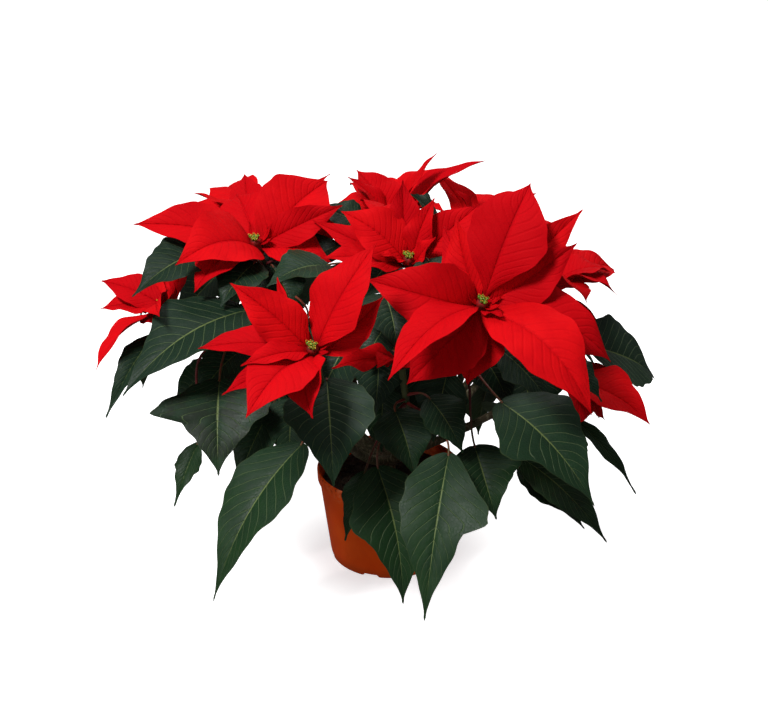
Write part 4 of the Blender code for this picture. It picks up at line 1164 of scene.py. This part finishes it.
def bloom_hub(bloom):
    """The swollen end of the shoot, which the bracts stand on."""
    points = [bloom.heart - bloom.ahead * (HUB_LENGTH * (1 - k / HUB_STEPS)) for k in range(HUB_STEPS + 1)]
    radii = [HUB_RADIUS * (0.72 + 0.20 * k / HUB_STEPS + 0.06 * math.sin(2.2 * k)) for k in range(HUB_STEPS)]
    return fine_tube(points, radii + [0.7 * HUB_RADIUS], 16, 0.5)


def make_blooms():
    finishes = bract_finish(), hub_finish()
    rng = random.Random(LOOKS_SEED)
    for name, bloom in BLOOMS.items():
        corners = node_corners("bloom_" + name)
        parts = [(bloom_hub(bloom), 1)]
        for k, form in enumerate(bloom.bracts):
            ends = cad_ends(corners, bloom.ahead, form, lambda move: bract_line(bloom, form, k, move))
            if ends:
                parts.append((fine_blade(*ends, bloom.ahead, form, rng, BRACT_LOOK), 0))
        parts.extend(bractlets(bloom, rng))
        hand_over(grown("bracts_" + name, parts, finishes), "bloom_" + name)


make_blooms()

# The leafy shoots. Each is the soft green end of a branch with its leaves: a red stalk, and a
# dark blue-green blade, often with a pointed lobe or two, with pale ribs and a lighter underside.
SHOOT_RADIUS = 3.0 * MM
SHOOT_STEPS = 16
STALK_RADIUS = 1.15 * MM
STALK_INSET = 3 * MM
STALK_ROOT = 0.5 * MM
STALK_PULL = 0.35
STALK_STEPS = 14
LEAF_SLIDE_SHARE = 0.5
LEAF_FACING = Vector((0.0, -0.25, 1.0))
LEAF_LOOK = SimpleNamespace(rows=52, columns=18, sway=0.03, twist=9, frill=0.032, ribs=13, cup=0.12,
                            narrowest=0.9 * MM, ruffle=1.5, waves=2.3, rake=0.22, relief=0.6 * MM,
                            groove=0.3 * MM, skin=0.42 * MM, ridge=0.8 * MM)


def leaf_line(form, move):
    """The two ends of a leaf's blade."""
    base, tip = Vector(form.base) * MM, Vector(form.tip) * MM
    along = (tip - base).normalized()
    shift = moved(along, along.cross(Vector((0, 0, 1))).normalized(), move)
    return base + shift * LEAF_SLIDE_SHARE, tip + shift


def leaf_stalk(bloom, form, here, there, tone):
    """A leaf's curved stalk, from inside the shoot to a little way into the blade."""
    ahead = bloom.ahead
    attach = bloom.foot.lerp(bloom.top, form.start)
    reach = here - attach
    pull = STALK_PULL * reach.length
    outward = (reach - ahead * reach.dot(ahead)).normalized()
    way = (there - here).normalized()
    end = here + way * STALK_INSET + Vector((0, 0, 4 * form.bow * STALK_INSET))
    points = curve_points(attach + outward * STALK_ROOT, attach + (outward + ahead * 0.5) * pull,
                          here - way * pull, end, STALK_STEPS)
    radii = [STALK_RADIUS * (1.25 - 0.45 * min(1.0, n / 9)) for n in range(STALK_STEPS + 1)]
    radii[0] = 1.6 * STALK_RADIUS
    return fine_tube(points, radii, 10, tone)


def leaf_finish():
    finish = Finish("leaf_green", Specular_IOR_Level=0.22)
    across, along, tone, under = blade_facts(finish)
    side = abs(across)
    mottle = finish.noise(60.0, 4.0)
    cell = finish.noise(1100.0, 3.0)
    phase = (along - LEAF_LOOK.rake * side) * LEAF_LOOK.ribs
    rib = abs(phase.fraction() - 0.5).stepped(0.44, 0.495) * side.stepped(1.0, 0.7)
    net = finish.add("ShaderNodeTexVoronoi", {"feature": "DISTANCE_TO_EDGE"},
                     {"Vector": finish.place, "Scale": 420.0})["Distance"].stepped(0.09, 0.0)
    midrib = side.stepped(0.026, 0.008) * along.stepped(1.0, 0.7)
    deep = finish.mix(tone, (0.0065, 0.0210, 0.0110), (0.0120, 0.0360, 0.0170))
    # Leaves below about 0.2 m are given a brighter, less blue green.
    greener_low_down = finish.mix(finish.height().stepped(0.21, 0.10) * 0.75, deep, (0.0120, 0.0440, 0.0095))
    mottled = finish.mix(mottle.stepped(0.35, 0.7) * 0.45, greener_low_down, (0.0060, 0.0190, 0.0110))
    plum = tone.stepped(0.90, 0.96) * mottle.stepped(0.3, 0.6) * 0.45
    tinted = finish.mix(plum, mottled, (0.016, 0.006, 0.008))
    netted = finish.mix(net * 0.16, tinted, (0.034, 0.075, 0.022))
    ribbed = finish.mix(rib * 0.85, netted, (0.110, 0.165, 0.070))
    veined = finish.mix(midrib * 0.8, ribbed, (0.17, 0.22, 0.07))
    edged = finish.mix(side.stepped(0.965, 1.0) * 0.35, veined, (0.075, 0.100, 0.030))
    pale = finish.mix((rib * 0.5).largest(midrib * 0.9), (0.030, 0.062, 0.018), (0.14, 0.17, 0.06))
    finish.shade(Base_Color=finish.mix(under, edged, pale), Roughness=0.38 + 0.15 * mottle + 0.2 * under)
    finish.bump(cell * 0.15 + mottle * 0.5 - 1.2 * rib - 0.22 * net, 0.0005, 0.9)
    finish.glow_through((0.05, 0.22, 0.010), 0.09)
    return finish


def stalk_finish():
    finish = Finish("leaf_stalk", Specular_IOR_Level=0.4)
    _, along, tone, _ = blade_facts(finish)
    spots = finish.noise(240.0, 3.0)
    red = finish.mix(tone, (0.13, 0.010, 0.012), (0.24, 0.022, 0.018))
    brown = (spots * 0.6 + along * 0.3).stepped(0.35, 0.75)
    finish.shade(Base_Color=finish.mix(brown, red, (0.10, 0.075, 0.020)), Roughness=0.38 + 0.2 * spots)
    finish.bump(spots, 0.0003)
    return finish


def stem_finish():
    finish = Finish("shoot_green", Specular_IOR_Level=0.4)
    grain = finish.streaks(500.0, 3.0, 0.3)
    patch = finish.noise(50.0, 3.0)
    base = finish.mix(patch.stepped(0.35, 0.65), (0.040, 0.070, 0.018), (0.085, 0.095, 0.030))
    finish.shade(Base_Color=finish.mix(grain.stepped(0.5, 0.8) * 0.6, base, (0.14, 0.12, 0.05)),
                 Roughness=0.45 + 0.25 * grain)
    finish.bump(grain, 0.0005)
    return finish


def make_shoots():
    finishes = leaf_finish(), stalk_finish(), stem_finish()
    rng = random.Random(LOOKS_SEED + 1)
    for name, bloom in BLOOMS.items():
        corners = node_corners("shoot_" + name)
        points = [bloom.foot.lerp(bloom.top, k / SHOOT_STEPS) for k in range(SHOOT_STEPS + 1)]
        radii = [SHOOT_RADIUS * (0.94 + 0.10 * math.cos(2.1 * k) ** 4) for k in range(SHOOT_STEPS + 1)]
        parts = [(fine_tube(points, radii, 14, 0.5), 2)]
        for form in bloom.leaves:
            ends = cad_ends(corners, LEAF_FACING, form, lambda move: leaf_line(form, move))
            if ends:
                parts.append((leaf_stalk(bloom, form, *ends, rng.random()), 1))
                parts.append((fine_blade(*ends, LEAF_FACING, form, rng, LEAF_LOOK), 0))
        hand_over(grown("leaves_" + name, parts, finishes), "shoot_" + name)


make_shoots()

# The cyathia. Round yellow-green buds no bigger than a pea, crowded on the end of each shoot,
# each with a yellow honey lip on its side and a tuft of red and yellow stamens on top.
BUD_RADIUS = 1.472 * MM
BUD_RING = 3.036 * MM
BUDS = 8
BUD_STAMENS = 6
BUD_SEED = 21


def bud_finish():
    finish = Finish("bud_yellow", Specular_IOR_Level=0.5)
    part = finish.carried("part", "Fac")
    spots = finish.noise(500.0, 3.0)
    green = finish.mix(spots.stepped(0.4, 0.65), (0.085, 0.22, 0.012), (0.17, 0.34, 0.022))
    lipped = finish.mix(part.stepped(0.4, 0.5), green, (0.60, 0.42, 0.02))
    finish.shade(Base_Color=finish.mix(part.stepped(0.9, 0.95), lipped, (0.50, 0.03, 0.015)),
                 Roughness=0.35 + 0.2 * spots)
    finish.bump(spots, 0.0002)
    return finish


def bud_mesh():
    """One bud standing on +Z: its cup, honey lip and stamens, told apart by the part attribute."""
    r = BUD_RADIUS
    cup = turned([(0, -0.2 * r), (0.45 * r, 0), (0.9 * r, 0.8 * r), (1.0 * r, 1.5 * r), (0.8 * r, 2.2 * r),
                  (0.55 * r, 2.5 * r), (0.40 * r, 2.35 * r), (0, 2.2 * r)], 12)
    lip, lip_faces = turned([(0, -0.5 * r), (0.55 * r, -0.25 * r), (0.7 * r, 0.1 * r), (0.45 * r, 0.3 * r),
                             (0, 0.1 * r)], 8)
    lip = [Vector((v.x * 0.6 + 0.9 * r, 0.8 * v.y, 0.8 * v.z + 2.0 * r)) for v in lip]
    shapes = [(cup, 0.0), ((lip, lip_faces), 0.7)]
    for k in range(BUD_STAMENS):
        turn = k * 1.05
        lean = Vector((math.cos(turn), math.sin(turn), 0)) * (0.28 * r)
        base = Vector((0, 0, 2.2 * r)) + lean * 0.6
        points = [base, base + lean * 0.6 + Vector((0, 0, 0.7 * r)), base + lean + Vector((0, 0, 1.0 * r))]
        shapes.append((tube(points, [0.10 * r, 0.10 * r, 0.16 * r], 5), 1.0 if k % 2 else 0.7))
    made = placed("bud", *join([shape for shape, _ in shapes]))
    values = [value for (some, _), value in shapes for _ in some]
    made.data.attributes.new("part", "FLOAT", "POINT").data.foreach_set("value", values)
    return made


def make_buds():
    bud = bud_mesh()
    tree = Tree("bud_cluster", bud, 0.75, 1.1, BUD_SEED)
    way = tree.add("GeometryNodeInputNamedAttribute", {"data_type": "FLOAT_VECTOR"}, Name="way")
    aligned = tree.add("FunctionNodeAlignRotationToVector", {"axis": "Z"}, Vector=way[0])
    tree.close(tree.source["Geometry"], aligned[0], bud_finish())
    rng = random.Random(BUD_SEED)
    for name, bloom in BLOOMS.items():
        right = bloom.ahead.orthogonal().normalized()
        over = bloom.ahead.cross(right)
        spots, ways = [], []
        for k in range(BUDS):
            turn = k * GOLDEN_TURN
            out = (right * math.cos(turn) + over * math.sin(turn)) * math.sqrt((k + 0.2) / BUDS)
            spots.append(bloom.heart + bloom.ahead * (0.2 * MM) + out * BUD_RING)
            ways.extend((bloom.ahead + out * 0.45 + right * rng.uniform(-0.1, 0.1)).normalized())
        cluster = placed("buds_" + name, spots, [])
        cluster.data.attributes.new("way", "FLOAT_VECTOR", "POINT").data.foreach_set("vector", ways)
        tree.grow(cluster)
        cluster.data.shade_smooth()
        hand_over(cluster, "cyathia_" + name)
    bpy.data.objects.remove(bud)


make_buds()
